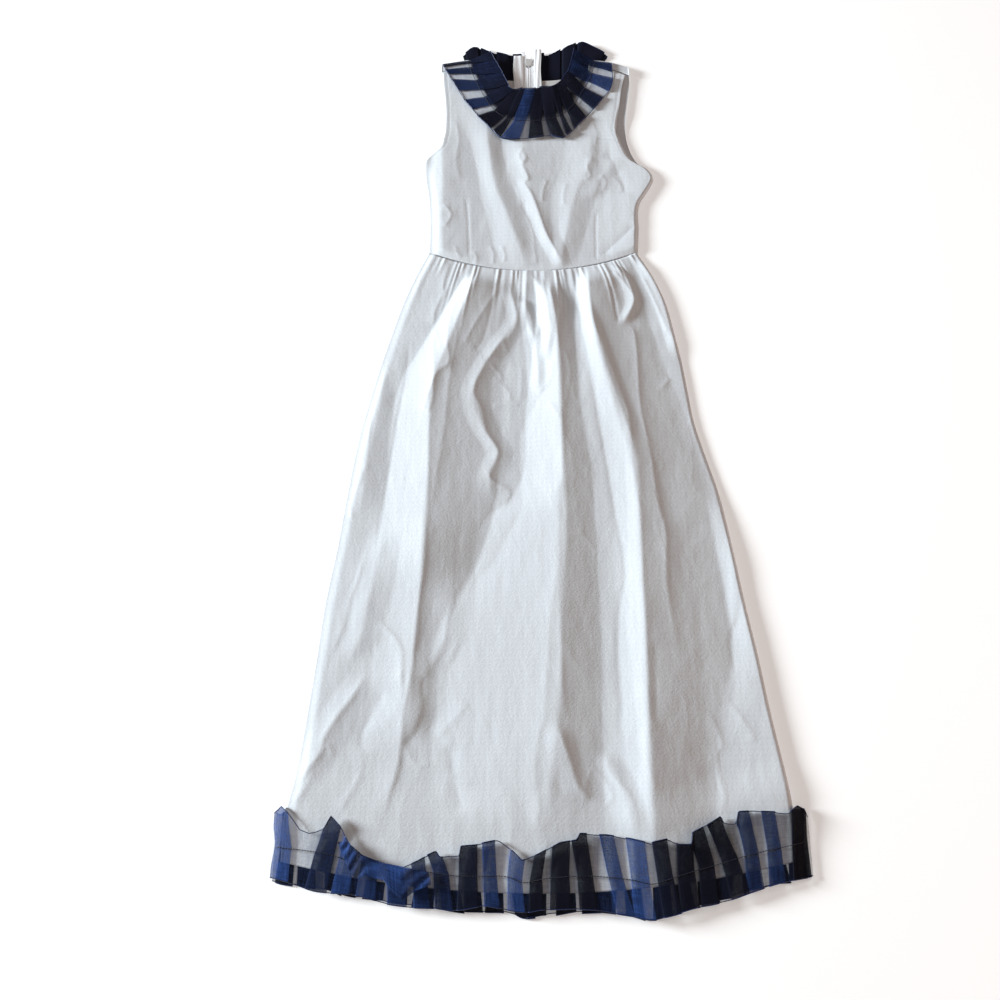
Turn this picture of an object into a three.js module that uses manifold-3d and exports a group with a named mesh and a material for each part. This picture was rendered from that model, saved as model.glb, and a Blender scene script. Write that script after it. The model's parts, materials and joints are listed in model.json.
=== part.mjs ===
// A sleeveless, floor-length bazin dress, laid flat on its back with the front panel up.
// Millimetres, +Z up, +Y toward the neck, +X toward the right of someone looking down at it.
// Every panel is a thin wall, and the panels lie on each other, back first.
import * as THREE from 'three';
import Module from 'manifold-3d';

const wasm = await Module();
wasm.setup();

// Driving dimensions
const CLOTH = 1.4;              // wall of the waxed damask cotton
const ORGANZA = 1.3;            // wall of the ruffle strip, measured upright
const GAP = 0.3;                // air between pieces at a seam or where one lies on another
const UNDER_RUFFLE = 4;         // room for the ruffle that lies under the back at neck and hem
const PUFF = 2.4;               // air between the front and the back, inside the side seams
const SIDE_ROUND = 26;          // width over which the front comes down to the side seam
const CENTRE_BACK = -5;         // x of the zip and of the seam below it
const WAIST = { side: 293, drop: 35 };
const HEM = { side: -655, drop: 40 };
const NECK_HALF = 102;          // centre to the neck end of the shoulder
const FRONT_NECK_Y = 560;       // lowest point of the front neckline
const BACK_NECK_Y = 641;        // lowest point of the back neckline
const SHOULDER = { neckY: 682, fall: 17, outerX: 171 };
const SHOULDER_TURN = 15;       // the back panel's shoulder comes this far over the top fold
const SEAM_SLACK = 1.0;         // keeps the straight steps of the two curved shoulder edges apart
const GATHERS_FRONT = 28;
const GATHERS_BACK_HALF = 11;
const GATHER_HEIGHT = 3.4;
const BACK_GATHER_HEIGHT = 1.5;
const ZIP_END_Y = 150;
const CHAIN_END_Y = 186;
const ZIP_OPENING = 3;          // half the width between the cloth edges beside the zip
const HEM_PLEATS = 23;
const NECK_PLEATS = 14;
const BACK_NECK_PLEATS = 4;

// Side edges of the skirt, from the waist down to the hem.
const SKIRT_EDGES = [
  { y: 293, left: -172, right: 169 },
  { y: 250, left: -192, right: 192 },
  { y: 200, left: -211, right: 211 },
  { y: 140, left: -229, right: 223 },
  { y: 94, left: -242, right: 231 },
  { y: 37, left: -256, right: 238 },
  { y: -10, left: -267, right: 244 },
  { y: -56, left: -276, right: 255 },
  { y: -132, left: -287, right: 275 },
  { y: -216, left: -298, right: 289 },
  { y: -300, left: -311, right: 301 },
  { y: -380, left: -319, right: 314 },
  { y: -454, left: -327, right: 324 },
  { y: -543, left: -338, right: 338 },
  { y: -600, left: -349, right: 343 },
  { y: -655, left: -349, right: 339 },
];

// Side edges of the bodice: armhole, underarm and side seam. The back shows past the front's
// right armhole, so it has a column of its own.
const BODICE_EDGES = [
  { y: 682, left: -160, right: 172, backRight: 171 },
  { y: 667, left: -157, right: 169, backRight: 170 },
  { y: 628, left: -154, right: 158, backRight: 170 },
  { y: 588, left: -150, right: 152, backRight: 164 },
  { y: 553, left: -149, right: 146, backRight: 160 },
  { y: 529, left: -150, right: 144, backRight: 160 },
  { y: 518, left: -152, right: 148, backRight: 161 },
  { y: 499, left: -157, right: 154, backRight: 165 },
  { y: 487, left: -170, right: 159, backRight: 169 },
  { y: 473, left: -181, right: 168, backRight: 176 },
  { y: 457, left: -182, right: 193, backRight: 192 },
  { y: 437, left: -181, right: 203, backRight: 203 },
  { y: 424, left: -179, right: 198, backRight: 198 },
  { y: 405, left: -176, right: 187, backRight: 187 },
  { y: 385, left: -174, right: 176, backRight: 176 },
  { y: 337, left: -172, right: 171, backRight: 171 },
  { y: 292, left: -172, right: 169, backRight: 169 },
  { y: 250, left: -172, right: 169, backRight: 169 },
];

// Folds of the front skirt. Each is a ridge that runs down the cloth: the crest passes through
// the points x, y; left and right are how far its two flanks spread at those points.
const SKIRT_FOLDS = [
  { rise: 9, y: [262, 200, 124, 69, 7, -99, -239, -383, -511, -620],
    x: [-88, -122, -136, -155, -161, -163, -169, -180, -197, -214],
    left: [16, 26, 40, 50, 58, 62, 68, 60, 50, 40], right: [14, 24, 40, 58, 84, 104, 88, 50, 18, 14] },
  { rise: 10, y: [256, 211, 167, 119, 16, -141, -259, -410, -474, -537, -650],
    x: [27, 27, 35, 39, 39, 36, 29, 12, 4, -6, -18],
    left: [14, 20, 28, 36, 48, 64, 98, 138, 120, 96, 60], right: [12, 18, 24, 32, 50, 72, 84, 84, 80, 64, 40] },
  { rise: 5.5, y: [215, 150, 90, 25, -60, -141, -235, -354, -495, -630],
    x: [76, 90, 103, 118, 137, 151, 153, 152, 148, 145],
    left: [12, 15, 18, 22, 30, 33, 35, 35, 36, 30], right: [10, 11, 12, 13, 14, 14, 14, 14, 16, 18] },
  { rise: 6, y: [215, 153, 76, 16, -69, -157, -283, -420],
    x: [122, 140, 155, 160, 168, 181, 187, 197],
    left: [12, 16, 20, 20, 20, 20, 24, 30], right: [26, 40, 54, 64, 74, 84, 90, 70] },
  { rise: 7, y: [-215, -300, -370, -440, -500, -600],
    x: [286, 294, 300, 296, 290, 282], left: [16, 24, 40, 62, 54, 40], right: [12, 16, 20, 26, 30, 34] },
  { rise: 4, y: [90, 16, -70, -180], x: [-232, -242, -254, -268], left: [12, 14, 16, 16], right: [16, 20, 24, 20] },
  { rise: 4.5, y: [-195, -262, -303, -340, -395],
    x: [-248, -263, -274, -281, -298], left: [20, 26, 28, 26, 18], right: [22, 28, 30, 30, 24] },
  { rise: 5, y: [-395, -434, -469, -500, -560], x: [-238, -265, -287, -303, -326],
    left: [24, 26, 26, 22, 16], right: [26, 28, 30, 28, 24] },
  { rise: 4, y: [-250, -300, -350, -394, -454, -510], x: [-118, -126, -136, -157, -164, -190],
    left: [16, 20, 22, 22, 20, 14], right: [18, 24, 26, 24, 20, 14] },
  { rise: 3.4, y: [225, 167, 129, 87, 37, -28, -61, -107, -165],
    x: [-40, -30, -52, -78, -98, -79, -59, -71, -54],
    left: [12, 14, 16, 16, 16, 16, 14, 14, 14], right: [12, 14, 16, 16, 18, 18, 16, 16, 14] },
  { rise: 3.6, y: [272, 254, 202, 150], x: [124, 140, 160, 139], left: [8, 12, 14, 10], right: [8, 10, 12, 10] },
  { rise: 3, y: [205, 124, 30], x: [-15, 0, 3], left: [12, 16, 12], right: [8, 11, 9] },
  { rise: 2.6, y: [246, 153, 85], x: [6, 22, 14], left: [8, 10, 9], right: [7, 9, 8] },
  { rise: 3, y: [270, 211, 150], x: [166, 190, 200], left: [10, 16, 18], right: [6, 9, 9] },
  { rise: 2.8, y: [-465, -536, -569, -582], x: [7, 27, 43, 62], left: [12, 16, 14, 12], right: [12, 14, 14, 12] },
  { rise: 3.2, y: [-505, -555, -635], x: [88, 109, 129], left: [14, 20, 18], right: [12, 15, 14] },
];

// Folds of the front bodice, read the same way.
const BODICE_FOLDS = [
  { rise: 2.6, y: [490, 420, 335], x: [-158, -157, -155], left: [16, 20, 14], right: [12, 14, 12] },
  { rise: 2.8, y: [512, 444, 398, 342, 288], x: [-80, -79, -67, -46, -26],
    left: [10, 12, 12, 12, 10], right: [10, 12, 12, 12, 10] },
  { rise: 2, y: [512, 440, 380], x: [-37, -42, -20], left: [9, 11, 9], right: [9, 11, 9] },
  { rise: 2.2, y: [430, 369, 316, 268], x: [-7, 8, 30, 45], left: [9, 12, 12, 9], right: [9, 11, 11, 9] },
  { rise: 2.4, y: [500, 400, 338, 272], x: [66, 56, 50, 47], left: [12, 16, 14, 10], right: [8, 10, 10, 8] },
  { rise: 2.2, y: [352, 318, 276], x: [166, 140, 106], left: [10, 14, 12], right: [10, 14, 12] },
];

// The strip round the hem, on the front: stitch is where it is sewn down, up and down are how
// far its two free halves reach from there, and lift is how high the upper one stands.
const HEM_SECTIONS = [
  { x: -362, stitch: -634, up: 40, down: 40, lift: 0 },
  { x: -350, stitch: -637, up: 48, down: 40, lift: 2 },
  { x: -330, stitch: -639, up: 27, down: 44, lift: 3 },
  { x: -300, stitch: -643, up: 27, down: 49, lift: 2 },
  { x: -280, stitch: -647, up: 44, down: 47, lift: 5 },
  { x: -262, stitch: -652, up: 32, down: 43, lift: 4 },
  { x: -240, stitch: -655, up: 12, down: 43, lift: 3 },
  { x: -210, stitch: -660, up: 6, down: 46, lift: 2 },
  { x: -180, stitch: -664, up: 6, down: 47, lift: 2 },
  { x: -150, stitch: -668, up: 22, down: 45, lift: 4 },
  { x: -110, stitch: -673, up: 34, down: 42, lift: 2 },
  { x: -75, stitch: -673, up: 43, down: 37, lift: 3 },
  { x: -45, stitch: -674, up: 38, down: 41, lift: 2 },
  { x: -25, stitch: -681, up: 27, down: 37, lift: 1 },
  { x: 0, stitch: -677, up: 32, down: 38, lift: 3 },
  { x: 30, stitch: -674, up: 44, down: 40, lift: 2 },
  { x: 60, stitch: -673, up: 52, down: 41, lift: 3 },
  { x: 120, stitch: -678, up: 52, down: 45, lift: 2 },
  { x: 145, stitch: -683, up: 50, down: 44, lift: 3 },
  { x: 165, stitch: -678, up: 50, down: 45, lift: 2 },
  { x: 195, stitch: -669, up: 44, down: 45, lift: 2 },
  { x: 225, stitch: -661, up: 56, down: 47, lift: 4 },
  { x: 250, stitch: -654, up: 49, down: 48, lift: 2 },
  { x: 275, stitch: -647, up: 56, down: 47, lift: 3 },
  { x: 305, stitch: -640, up: 49, down: 44, lift: 2 },
  { x: 335, stitch: -634, up: 46, down: 44, lift: 3 },
  { x: 362, stitch: -628, up: 44, down: 44, lift: 0 },
];

// The strip round the neck, on the front, from the left shoulder to the right one. mid is its
// stitch line, in its edge over the neck opening, out its edge on the bodice.
const NECK_SECTIONS = [
  { share: 0, midX: -113, midY: 684, inX: -72, inY: 690, outX: -156, outY: 680, lift: 8 },
  { share: 0.07, midX: -108, midY: 664, inX: -60, inY: 664, outX: -150, outY: 666, lift: 6 },
  { share: 0.16, midX: -97, midY: 634, inX: -48, inY: 638, outX: -138, outY: 636, lift: 5 },
  { share: 0.25, midX: -80, midY: 597, inX: -38, inY: 616, outX: -113, outY: 590, lift: 4 },
  { share: 0.35, midX: -58, midY: 566, inX: -26, inY: 611, outX: -84, outY: 552, lift: 3 },
  { share: 0.43, midX: -34, midY: 553, inX: -15, inY: 613, outX: -52, outY: 516, lift: 3 },
  { share: 0.5, midX: -8, midY: 551, inX: 0, inY: 612, outX: -12, outY: 515, lift: 4 },
  { share: 0.57, midX: 20, midY: 552, inX: 18, inY: 616, outX: 24, outY: 520, lift: 3 },
  { share: 0.64, midX: 44, midY: 560, inX: 33, inY: 617, outX: 54, outY: 519, lift: 4 },
  { share: 0.72, midX: 66, midY: 578, inX: 46, inY: 626, outX: 84, outY: 550, lift: 3 },
  { share: 0.81, midX: 87, midY: 612, inX: 58, inY: 642, outX: 114, outY: 588, lift: 4 },
  { share: 0.9, midX: 102, midY: 644, inX: 66, inY: 660, outX: 139, outY: 628, lift: 6 },
  { share: 1, midX: 112, midY: 682, inX: 74, inY: 694, outX: 140, outY: 676, lift: 8 },
];

// The same strip on the back, from the zip outward. Its upper edge shows through the neck.
const BACK_NECK_SECTIONS = [
  { share: 0, midX: 8, midY: 633, inX: 9, inY: 702, outX: 8, outY: 597, lift: 0 },
  { share: 0.2, midX: 25, midY: 634, inX: 27, inY: 700, outX: 29, outY: 597, lift: 0.4 },
  { share: 0.42, midX: 50, midY: 638, inX: 50, inY: 704, outX: 62, outY: 601, lift: 2 },
  { share: 0.64, midX: 74, midY: 645, inX: 74, inY: 713, outX: 98, outY: 612, lift: 4 },
  { share: 0.84, midX: 95, midY: 655, inX: 98, inY: 718, outX: 130, outY: 634, lift: 5 },
  { share: 1, midX: 106, midY: 664, inX: 116, inY: 704, outX: 148, outY: 658, lift: 3 },
];
const SHOULDER_TUCK_Y = 645;    // the back strip stays low under the cloth up to here

const FABRIC = { bazin: 0xe9ecf3, lining: 0xe6e2da, organza: 0x11163c };
const dress = new THREE.Group();

const mix = (a, b, t) => a + (b - a) * t;
const clamp = (v) => Math.min(1, Math.max(0, v));
function smooth(v) {
  const t = clamp(v);
  return t * t * (3 - 2 * t);
}

// Reads column b at value in column a, along a smooth curve through the rows.
function curveThrough(as, bs, value) {
  const sign = as[as.length - 1] > as[0] ? 1 : -1;
  const last = as.length - 2;
  let i = 0;
  while (i < last && sign * (value - as[i + 1]) > 0) i += 1;
  const slope = (k) => (bs[k + 1] - bs[k]) / (as[k + 1] - as[k]);
  const here = slope(i);
  const before = i > 0 ? (slope(i - 1) + here) / 2 : here;
  const after = i < last ? (slope(i + 1) + here) / 2 : here;
  const run = as[i + 1] - as[i];
  const t = clamp((value - as[i]) / run);
  const blend = t * t * (3 - 2 * t);
  return mix(bs[i], bs[i + 1], blend)
    + run * t * (1 - t) * (before * (1 - t) - after * t);
}
const column = (rows, from, to, value) =>
  curveThrough(rows.map((row) => row[from]), rows.map((row) => row[to]), value);

const waistY = (across) => WAIST.side - WAIST.drop * (1 - across * across);
const hemY = (across) => HEM.side - HEM.drop * (1 - across * across);
const skirtLeft = (y) => column(SKIRT_EDGES, 'y', 'left', y);
const skirtRight = (y) => column(SKIRT_EDGES, 'y', 'right', y);
const stitchY = (x) => column(HEM_SECTIONS, 'x', 'stitch', x);

// How high the back panel lies: on the floor, or on the ruffle under it at hem and neck.
function backRest(x, y) {
  const overHem = smooth((stitchY(x) + 120 - y) / 56);
  const overNeck = smooth((y - 520) / 60);
  return UNDER_RUFFLE * Math.max(overHem, overNeck);
}

// Height of the sharpest ridge lines: all folds of a table added up at one point.
function foldHeight(folds, x, y) {
  let height = 0;
  for (const fold of folds) {
    const top = fold.y[0];
    const end = fold.y[fold.y.length - 1];
    if (y >= top || y <= end) continue;
    const aside = x - curveThrough(fold.y, fold.x, y);
    const flank = curveThrough(fold.y, aside < 0 ? fold.left : fold.right, y);
    const share = (top - y) / (top - end);
    const fade = smooth(share / 0.22) * smooth((1 - share) / 0.22);
    height += fold.rise * fade * (1 - smooth(Math.abs(aside) / flank));
  }
  return height;
}

// Waist gathers: one small ridge each, of its own height and length, dying out below the seam.
function gatherHeight(count, seed, across, below) {
  const place = clamp(across) * count;
  const number = Math.min(count - 1, Math.floor(place));
  const size = 0.72 + 0.28 * Math.sin(number * 2.4 + seed);
  const length = 105 + 60 * Math.sin(number * 1.7 + seed);
  const arch = Math.sin(Math.PI * (place - number)) ** 2;
  return size * arch * smooth(0.55 + below / 26) * (1 - smooth(below / length));
}

// Comes down to nothing at the side seams.
function seamRound(x, y, left, right) {
  return smooth((x - left) / SIDE_ROUND) * smooth((right - x) / SIDE_ROUND);
}

function skirtFrontZ(x, y) {
  const left = skirtLeft(y);
  const right = skirtRight(y);
  const inner = THREE.MathUtils.clamp(x, left, right);
  const share = (inner - left) / (right - left);
  const below = waistY(2 * share - 1) - y;
  const round = seamRound(inner, y, left, right);
  const flatten = 1 - 0.45 * smooth((-y - 560) / 90);
  const gathers = GATHER_HEIGHT * gatherHeight(GATHERS_FRONT, 0.4, share, below);
  const raised = PUFF + gathers + flatten * foldHeight(SKIRT_FOLDS, inner, y);
  return backRest(x, y) + CLOTH + GAP + round * raised;
}

function bodiceFrontZ(x, y) {
  const left = column(BODICE_EDGES, 'y', 'left', y);
  const right = column(BODICE_EDGES, 'y', 'right', y);
  const sewn = 1 - smooth((y - 440) / 40);
  const round = mix(1, seamRound(x, y, left, right), sewn);
  return backRest(x, y) + CLOTH + GAP + round * (PUFF + foldHeight(BODICE_FOLDS, x, y));
}

// A wall between two grids of points. columns and rows are shares from 0 to 1, lower and upper
// give the wall's two faces, and its edges are closed.
function wall(name, color, columns, rows, lower, upper) {
  const wide = columns.length;
  const high = rows.length;
  const points = [];
  for (const face of [lower, upper]) {
    for (const down of rows) {
      for (const along of columns) points.push(...face(along, down));
    }
  }
  const at = (face, i, j) => face * wide * high + j * wide + i;
  const faces = [];
  const quad = (a, b, c, d) => faces.push(a, b, c, a, c, d);
  for (let j = 0; j + 1 < high; j += 1) {
    for (let i = 0; i + 1 < wide; i += 1) {
      quad(at(0, i, j), at(0, i + 1, j), at(0, i + 1, j + 1), at(0, i, j + 1));
      quad(at(1, i, j), at(1, i, j + 1), at(1, i + 1, j + 1), at(1, i + 1, j));
    }
  }
  for (let i = 0; i + 1 < wide; i += 1) {
    quad(at(0, i, 0), at(1, i, 0), at(1, i + 1, 0), at(0, i + 1, 0));
    quad(at(0, i + 1, high - 1), at(1, i + 1, high - 1), at(1, i, high - 1), at(0, i, high - 1));
  }
  for (let j = 0; j + 1 < high; j += 1) {
    quad(at(0, 0, j + 1), at(1, 0, j + 1), at(1, 0, j), at(0, 0, j));
    quad(at(0, wide - 1, j), at(1, wide - 1, j), at(1, wide - 1, j + 1), at(0, wide - 1, j + 1));
  }
  addMesh(name, color, 0.6, points, turnedOut(points, faces));
}

// Turns all faces over if they point inward, by the sign of the volume they enclose.
function turnedOut(points, faces) {
  const a = new THREE.Vector3();
  const b = new THREE.Vector3();
  const c = new THREE.Vector3();
  let volume = 0;
  for (let k = 0; k < faces.length; k += 3) {
    a.fromArray(points, 3 * faces[k]);
    b.fromArray(points, 3 * faces[k + 1]);
    c.fromArray(points, 3 * faces[k + 2]);
    volume += a.dot(b.cross(c));
  }
  return volume > 0 ? faces : faces.reverse();
}

function addMesh(name, color, roughness, points, faces, metalness = 0) {
  const geometry = new THREE.BufferGeometry();
  geometry.setAttribute('position', new THREE.Float32BufferAttribute(points, 3));
  geometry.setIndex(faces);
  geometry.computeVertexNormals();
  const material = new THREE.MeshStandardMaterial({ color, roughness, metalness });
  const mesh = new THREE.Mesh(geometry, material);
  mesh.name = name;
  dress.add(mesh);
  return mesh;
}

const evenly = (count, power = 1) =>
  Array.from({ length: count + 1 }, (_, k) => (k / count) ** power);
const upright = (thickness, point) => (along, down) => {
  const [x, y, z] = point(along, down);
  return [x, y, z + thickness];
};

// Skirt
function skirtPlace(along, down) {
  const across = 2 * along - 1;
  const y = mix(waistY(across) - GAP, hemY(across), down);
  return [mix(skirtLeft(y), skirtRight(y), along), y];
}

// Rows down the skirt: close at the gathers, and again where it climbs onto the hem's ruffle.
const FRONT_ROWS = [0, 0.014, 0.035, 0.065, 0.105, 0.155, 0.215, 0.29, 0.375, 0.46, 0.545, 0.63, 0.71, 0.78];
const BACK_ROWS = [0, 0.03, 0.08, 0.16, 0.3, 0.5, 0.7];
const HEM_ROWS = [0.845, 0.88, 0.912];

function buildSkirtFront() {
  const face = (along, down) => {
    const [x, y] = skirtPlace(along, down);
    return [x, y, skirtFrontZ(x, y)];
  };
  wall('skirt_front', FABRIC.bazin, evenly(3 * GATHERS_FRONT), [...FRONT_ROWS, ...HEM_ROWS, 0.955, 1],
    face, upright(CLOTH, face));
}

// One half of the back: side is -1 for the left half and 1 for the right half.
function buildSkirtBack(name, side) {
  const centre = (y) => {
    const open = smooth((y - ZIP_END_Y + 40) / 65);
    return CENTRE_BACK + side * mix(GAP / 2, ZIP_OPENING, open);
  };
  const place = (along, down) => {
    const across = side * (1 - along);
    const y = mix(waistY(across) - GAP, hemY(across), down);
    const edge = side < 0 ? skirtLeft(y) : skirtRight(y);
    return [mix(edge, centre(y), along), y];
  };
  const lower = (along, down) => {
    const [x, y] = place(along, down);
    return [x, y, backRest(x, y)];
  };
  const upper = (along, down) => {
    const [x, y] = place(along, down);
    const below = waistY(side * (1 - along)) - y;
    const clear = smooth(along / 0.15) * smooth((1 - along) / 0.12);
    const gathers = clear * gatherHeight(GATHERS_BACK_HALF, 1.9, along, below);
    return [x, y, backRest(x, y) + CLOTH + BACK_GATHER_HEIGHT * gathers];
  };
  wall(name, FABRIC.bazin, evenly(3 * GATHERS_BACK_HALF), [...BACK_ROWS, ...HEM_ROWS, 1], lower, upper);
}

// Bodice
const shoulderY = (x) => {
  const out = clamp((Math.abs(x) - NECK_HALF) / (SHOULDER.outerX - NECK_HALF));
  return SHOULDER.neckY - SHOULDER.fall * out * out;
};
const seamY = (x) => shoulderY(x) - SHOULDER_TURN;

function frontTopY(x) {
  const out = Math.abs(x) / NECK_HALF;
  if (out >= 1) return seamY(x);
  return mix(FRONT_NECK_Y, seamY(NECK_HALF) - 2, out ** 3);
}

function buildBodiceFront() {
  const face = (along, down) => {
    const guess = mix(-158, 170, along);
    const y = mix(frontTopY(guess), waistY(2 * along - 1), down);
    const left = column(BODICE_EDGES, 'y', 'left', y);
    const right = column(BODICE_EDGES, 'y', 'right', y);
    const x = mix(left, right, along);
    return [x, y, bodiceFrontZ(x, y)];
  };
  wall('bodice_front', FABRIC.bazin, evenly(38), evenly(11), face, upright(CLOTH, face));
}

// The middle surface of a back half: flat on what it rests on, then round the shoulder's top
// fold and down on the front side. Columns inside the neckline stop at the neck edge instead.
const FLAT_SHARE = 0.62;
function backMiddle(side, along, down) {
  const topX = mix(side < 0 ? 159 : 171, 3, along);
  const onShoulder = topX > NECK_HALF;
  const bottom = waistY(side * (1 - along));
  const foldY = shoulderY(topX);
  const neckY = mix(BACK_NECK_Y, SHOULDER.neckY - 22, clamp(topX / NECK_HALF) ** 3);
  const flatTop = onShoulder ? foldY : neckY - 12;
  const rise = clamp(down / FLAT_SHARE);
  const turn = clamp((down - FLAT_SHARE) / (1 - FLAT_SHARE));
  let y = mix(bottom, flatTop, rise);
  const edgeName = side < 0 ? 'left' : 'backRight';
  const edge = column(BODICE_EDGES, 'y', edgeName, y);
  const x = mix(edge, CENTRE_BACK + side * ZIP_OPENING, along);
  let z = backRest(x, y) + CLOTH / 2;
  if (turn > 0 && !onShoulder) y = mix(flatTop, neckY, turn);
  if (turn > 0 && onShoulder) {
    const front = bodiceFrontZ(x, seamY(topX)) + CLOTH / 2;
    const radius = (front - z) / 2;
    const bend = Math.PI * clamp(turn / 0.6);
    const past = (SHOULDER_TURN - GAP - SEAM_SLACK) * clamp((turn - 0.6) / 0.4);
    y = foldY + radius * Math.sin(bend) - past;
    z += radius * (1 - Math.cos(bend));
  }
  return new THREE.Vector3(x, y, z);
}

function buildBodiceBack(name, side) {
  const step = 0.004;
  const offset = (amount) => (along, down) => {
    const point = backMiddle(side, along, down);
    const a = backMiddle(side, along, Math.max(0, down - step));
    const b = backMiddle(side, along, Math.min(1, down + step));
    const tangent = b.sub(a).setX(0).normalize();
    return [point.x, point.y - amount * tangent.z, point.z + amount * tangent.y];
  };
  const shoulderColumns = [0, 0.12, 0.24, 0.355, 0.4];
  const neckColumns = [0.44, 0.5, 0.58, 0.66, 0.74, 0.82, 0.91, 1];
  const flatRows = [0, 0.09, 0.18, 0.27, 0.36, 0.45, 0.54, FLAT_SHARE];
  const turnRows = [0.68, 0.73, 0.79, 0.85, 0.92, 1];
  wall(name, FABRIC.bazin, [...shoulderColumns, ...neckColumns], [...flatRows, ...turnRows],
    offset(-CLOTH / 2), offset(CLOTH / 2));
}

// Box pleats: each has a raised fold and a low one, joined by two slopes.
const PLEAT_PHASES = [0, 0.2, 0.55, 0.75];
const PLEAT_RAISED = [0, 1, 1, 0];
function pleatStations(count) {
  const stations = [];
  for (let k = 0; k < count; k += 1) {
    for (const phase of PLEAT_PHASES) stations.push((k + phase) / count);
  }
  return [...stations, 1];
}
function pleatHeight(count, along) {
  const phase = (along * count) % 1;
  const nearest = PLEAT_PHASES.findIndex((p) => Math.abs(p - phase) < 0.02);
  return nearest < 0 ? 0 : PLEAT_RAISED[nearest];
}

// The strip round the hem. across runs from 0, its upper free edge, to 1, its lower one.
const RUFFLE_ROWS = [0, 0.28, 0.54, 1];
const RUFFLE_CLEAR = 1.5;       // keeps the strip off the folds that it lies over
function hemPlace(along, across) {
  const x = mix(HEM_SECTIONS[0].x, HEM_SECTIONS[HEM_SECTIONS.length - 1].x, along);
  const reach = (key) => column(HEM_SECTIONS, 'x', key, x);
  const stitch = reach('stitch');
  const middle = RUFFLE_ROWS[2];
  const y = across < middle
    ? stitch + reach('up') * (1 - across / middle)
    : stitch - reach('down') * (across - middle) / (1 - middle);
  return [x, y, across < middle ? reach('lift') * (1 - across / middle) : 0];
}

function buildHemRuffleFront() {
  const face = (along, across) => {
    const [x, y, lift] = hemPlace(along, across);
    const edge = x < 0 ? skirtLeft(y) : skirtRight(y);
    const past = smooth((Math.abs(x) - Math.abs(edge)) / 14);
    const hem = hemY(clamp(Math.abs(x) / 345));
    const below = smooth((hem - y) / 22);
    const rest = skirtFrontZ(x, Math.max(y, hem)) + CLOTH + RUFFLE_CLEAR;
    const ground = mix(rest - RUFFLE_CLEAR * below, UNDER_RUFFLE + GAP, past);
    const spread = mix(1.2, 2.8, Math.abs(across - RUFFLE_ROWS[2]) / 0.54);
    return [x, y, ground + lift * (1 - past) + spread * pleatHeight(HEM_PLEATS, along) * (1 - past)];
  };
  wall('hem_ruffle_front', FABRIC.organza, pleatStations(HEM_PLEATS), RUFFLE_ROWS,
    face, upright(ORGANZA, face));
}

function buildHemRuffleBack() {
  const reachUp = 44;
  const reachDown = 47;
  const face = (along, across) => {
    const x = mix(-360, 360, along);
    const y = stitchY(x) - 2 + mix(reachUp, -reachDown, across);
    const ends = smooth(along / 0.02) * smooth((1 - along) / 0.02);
    return [x, y, 2 * ends * pleatHeight(HEM_PLEATS, along)];
  };
  wall('hem_ruffle_back', FABRIC.organza, pleatStations(HEM_PLEATS), [0, 0.5, 1],
    face, upright(ORGANZA, face));
}

// The strip round the neck. across runs from 0, over the neck opening, to 1, on the bodice.
function stripPlace(sections, along, across) {
  const read = (key) => column(sections, 'share', key, along);
  const [from, to, t] = across < 0.5
    ? ['in', 'mid', across / 0.5]
    : ['mid', 'out', (across - 0.5) / 0.5];
  return [mix(read(`${from}X`), read(`${to}X`), t), mix(read(`${from}Y`), read(`${to}Y`), t), read('lift')];
}

const STRIP_ROWS = [0, 0.22, 0.5, 0.75, 1];
function buildNeckRuffleFront() {
  const rest = UNDER_RUFFLE + CLOTH + GAP + PUFF + CLOTH + 0.4;
  const face = (along, across) => {
    const [x, y, lift] = stripPlace(NECK_SECTIONS, along, across);
    const standing = lift * smooth((0.5 - across) / 0.5);
    const spread = mix(1.2, across < 0.5 ? 3.4 : 2.8, Math.abs(across - 0.5) / 0.5);
    return [x, y, rest + standing + spread * pleatHeight(NECK_PLEATS, along)];
  };
  wall('neck_ruffle_front', FABRIC.organza, pleatStations(NECK_PLEATS), STRIP_ROWS,
    face, upright(ORGANZA, face));
}

function buildNeckRuffleBack(name, side) {
  const face = (along, across) => {
    const [out, y, lift] = stripPlace(BACK_NECK_SECTIONS, along, across);
    const freeFrom = mix(SHOULDER_TUCK_Y + 3, SHOULDER.neckY + 6, smooth((out - 66) / 30));
    const standing = lift * smooth((y - freeFrom) / 18);
    const spread = mix(1, 2.1, Math.abs(across - 0.5) / 0.5);
    return [CENTRE_BACK + side * out, y, standing + spread * pleatHeight(BACK_NECK_PLEATS, along)];
  };
  wall(name, FABRIC.organza, pleatStations(BACK_NECK_PLEATS), [0, 0.25, 0.5, 1],
    face, upright(ORGANZA, face));
}

// Centre-back zip, closed, seen from inside through the neck.
const ZIP = { topY: 704, sliderY: 680, chainHalf: 2, chain: 2, tape: 1, tapeWide: 12 };
const FACING = { bottomY: 596, wide: 11, thick: 1 };
const SLIDER = { length: 15.5, wideTop: 12, wideBottom: 9.4, height: 5.4, bottomZ: 3 };
const BRIDGE = { half: 4.2, post: 1.4, wide: 2.2, inside: 1.7, bar: 0.9 };
const PULL = { wide: 5.4, length: 26, thick: 1, holeWide: 3.2, holeFrom: 0.6, holeTo: 5.8 };
const PULL_AXIS = { y: ZIP.sliderY - 1, z: SLIDER.bottomZ - BRIDGE.inside / 2 };

function clothTop(y) {
  return backRest(CENTRE_BACK, y) + CLOTH;
}

// The tape narrows to make room for the slider's body, and stays apart above it.
function tapeInner(y) {
  const beside = smooth((y - ZIP.sliderY + SLIDER.length / 2 + 5) / 4);
  return mix(ZIP.chainHalf + GAP, SLIDER.wideTop / 2 + GAP + 0.1, beside);
}

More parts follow.
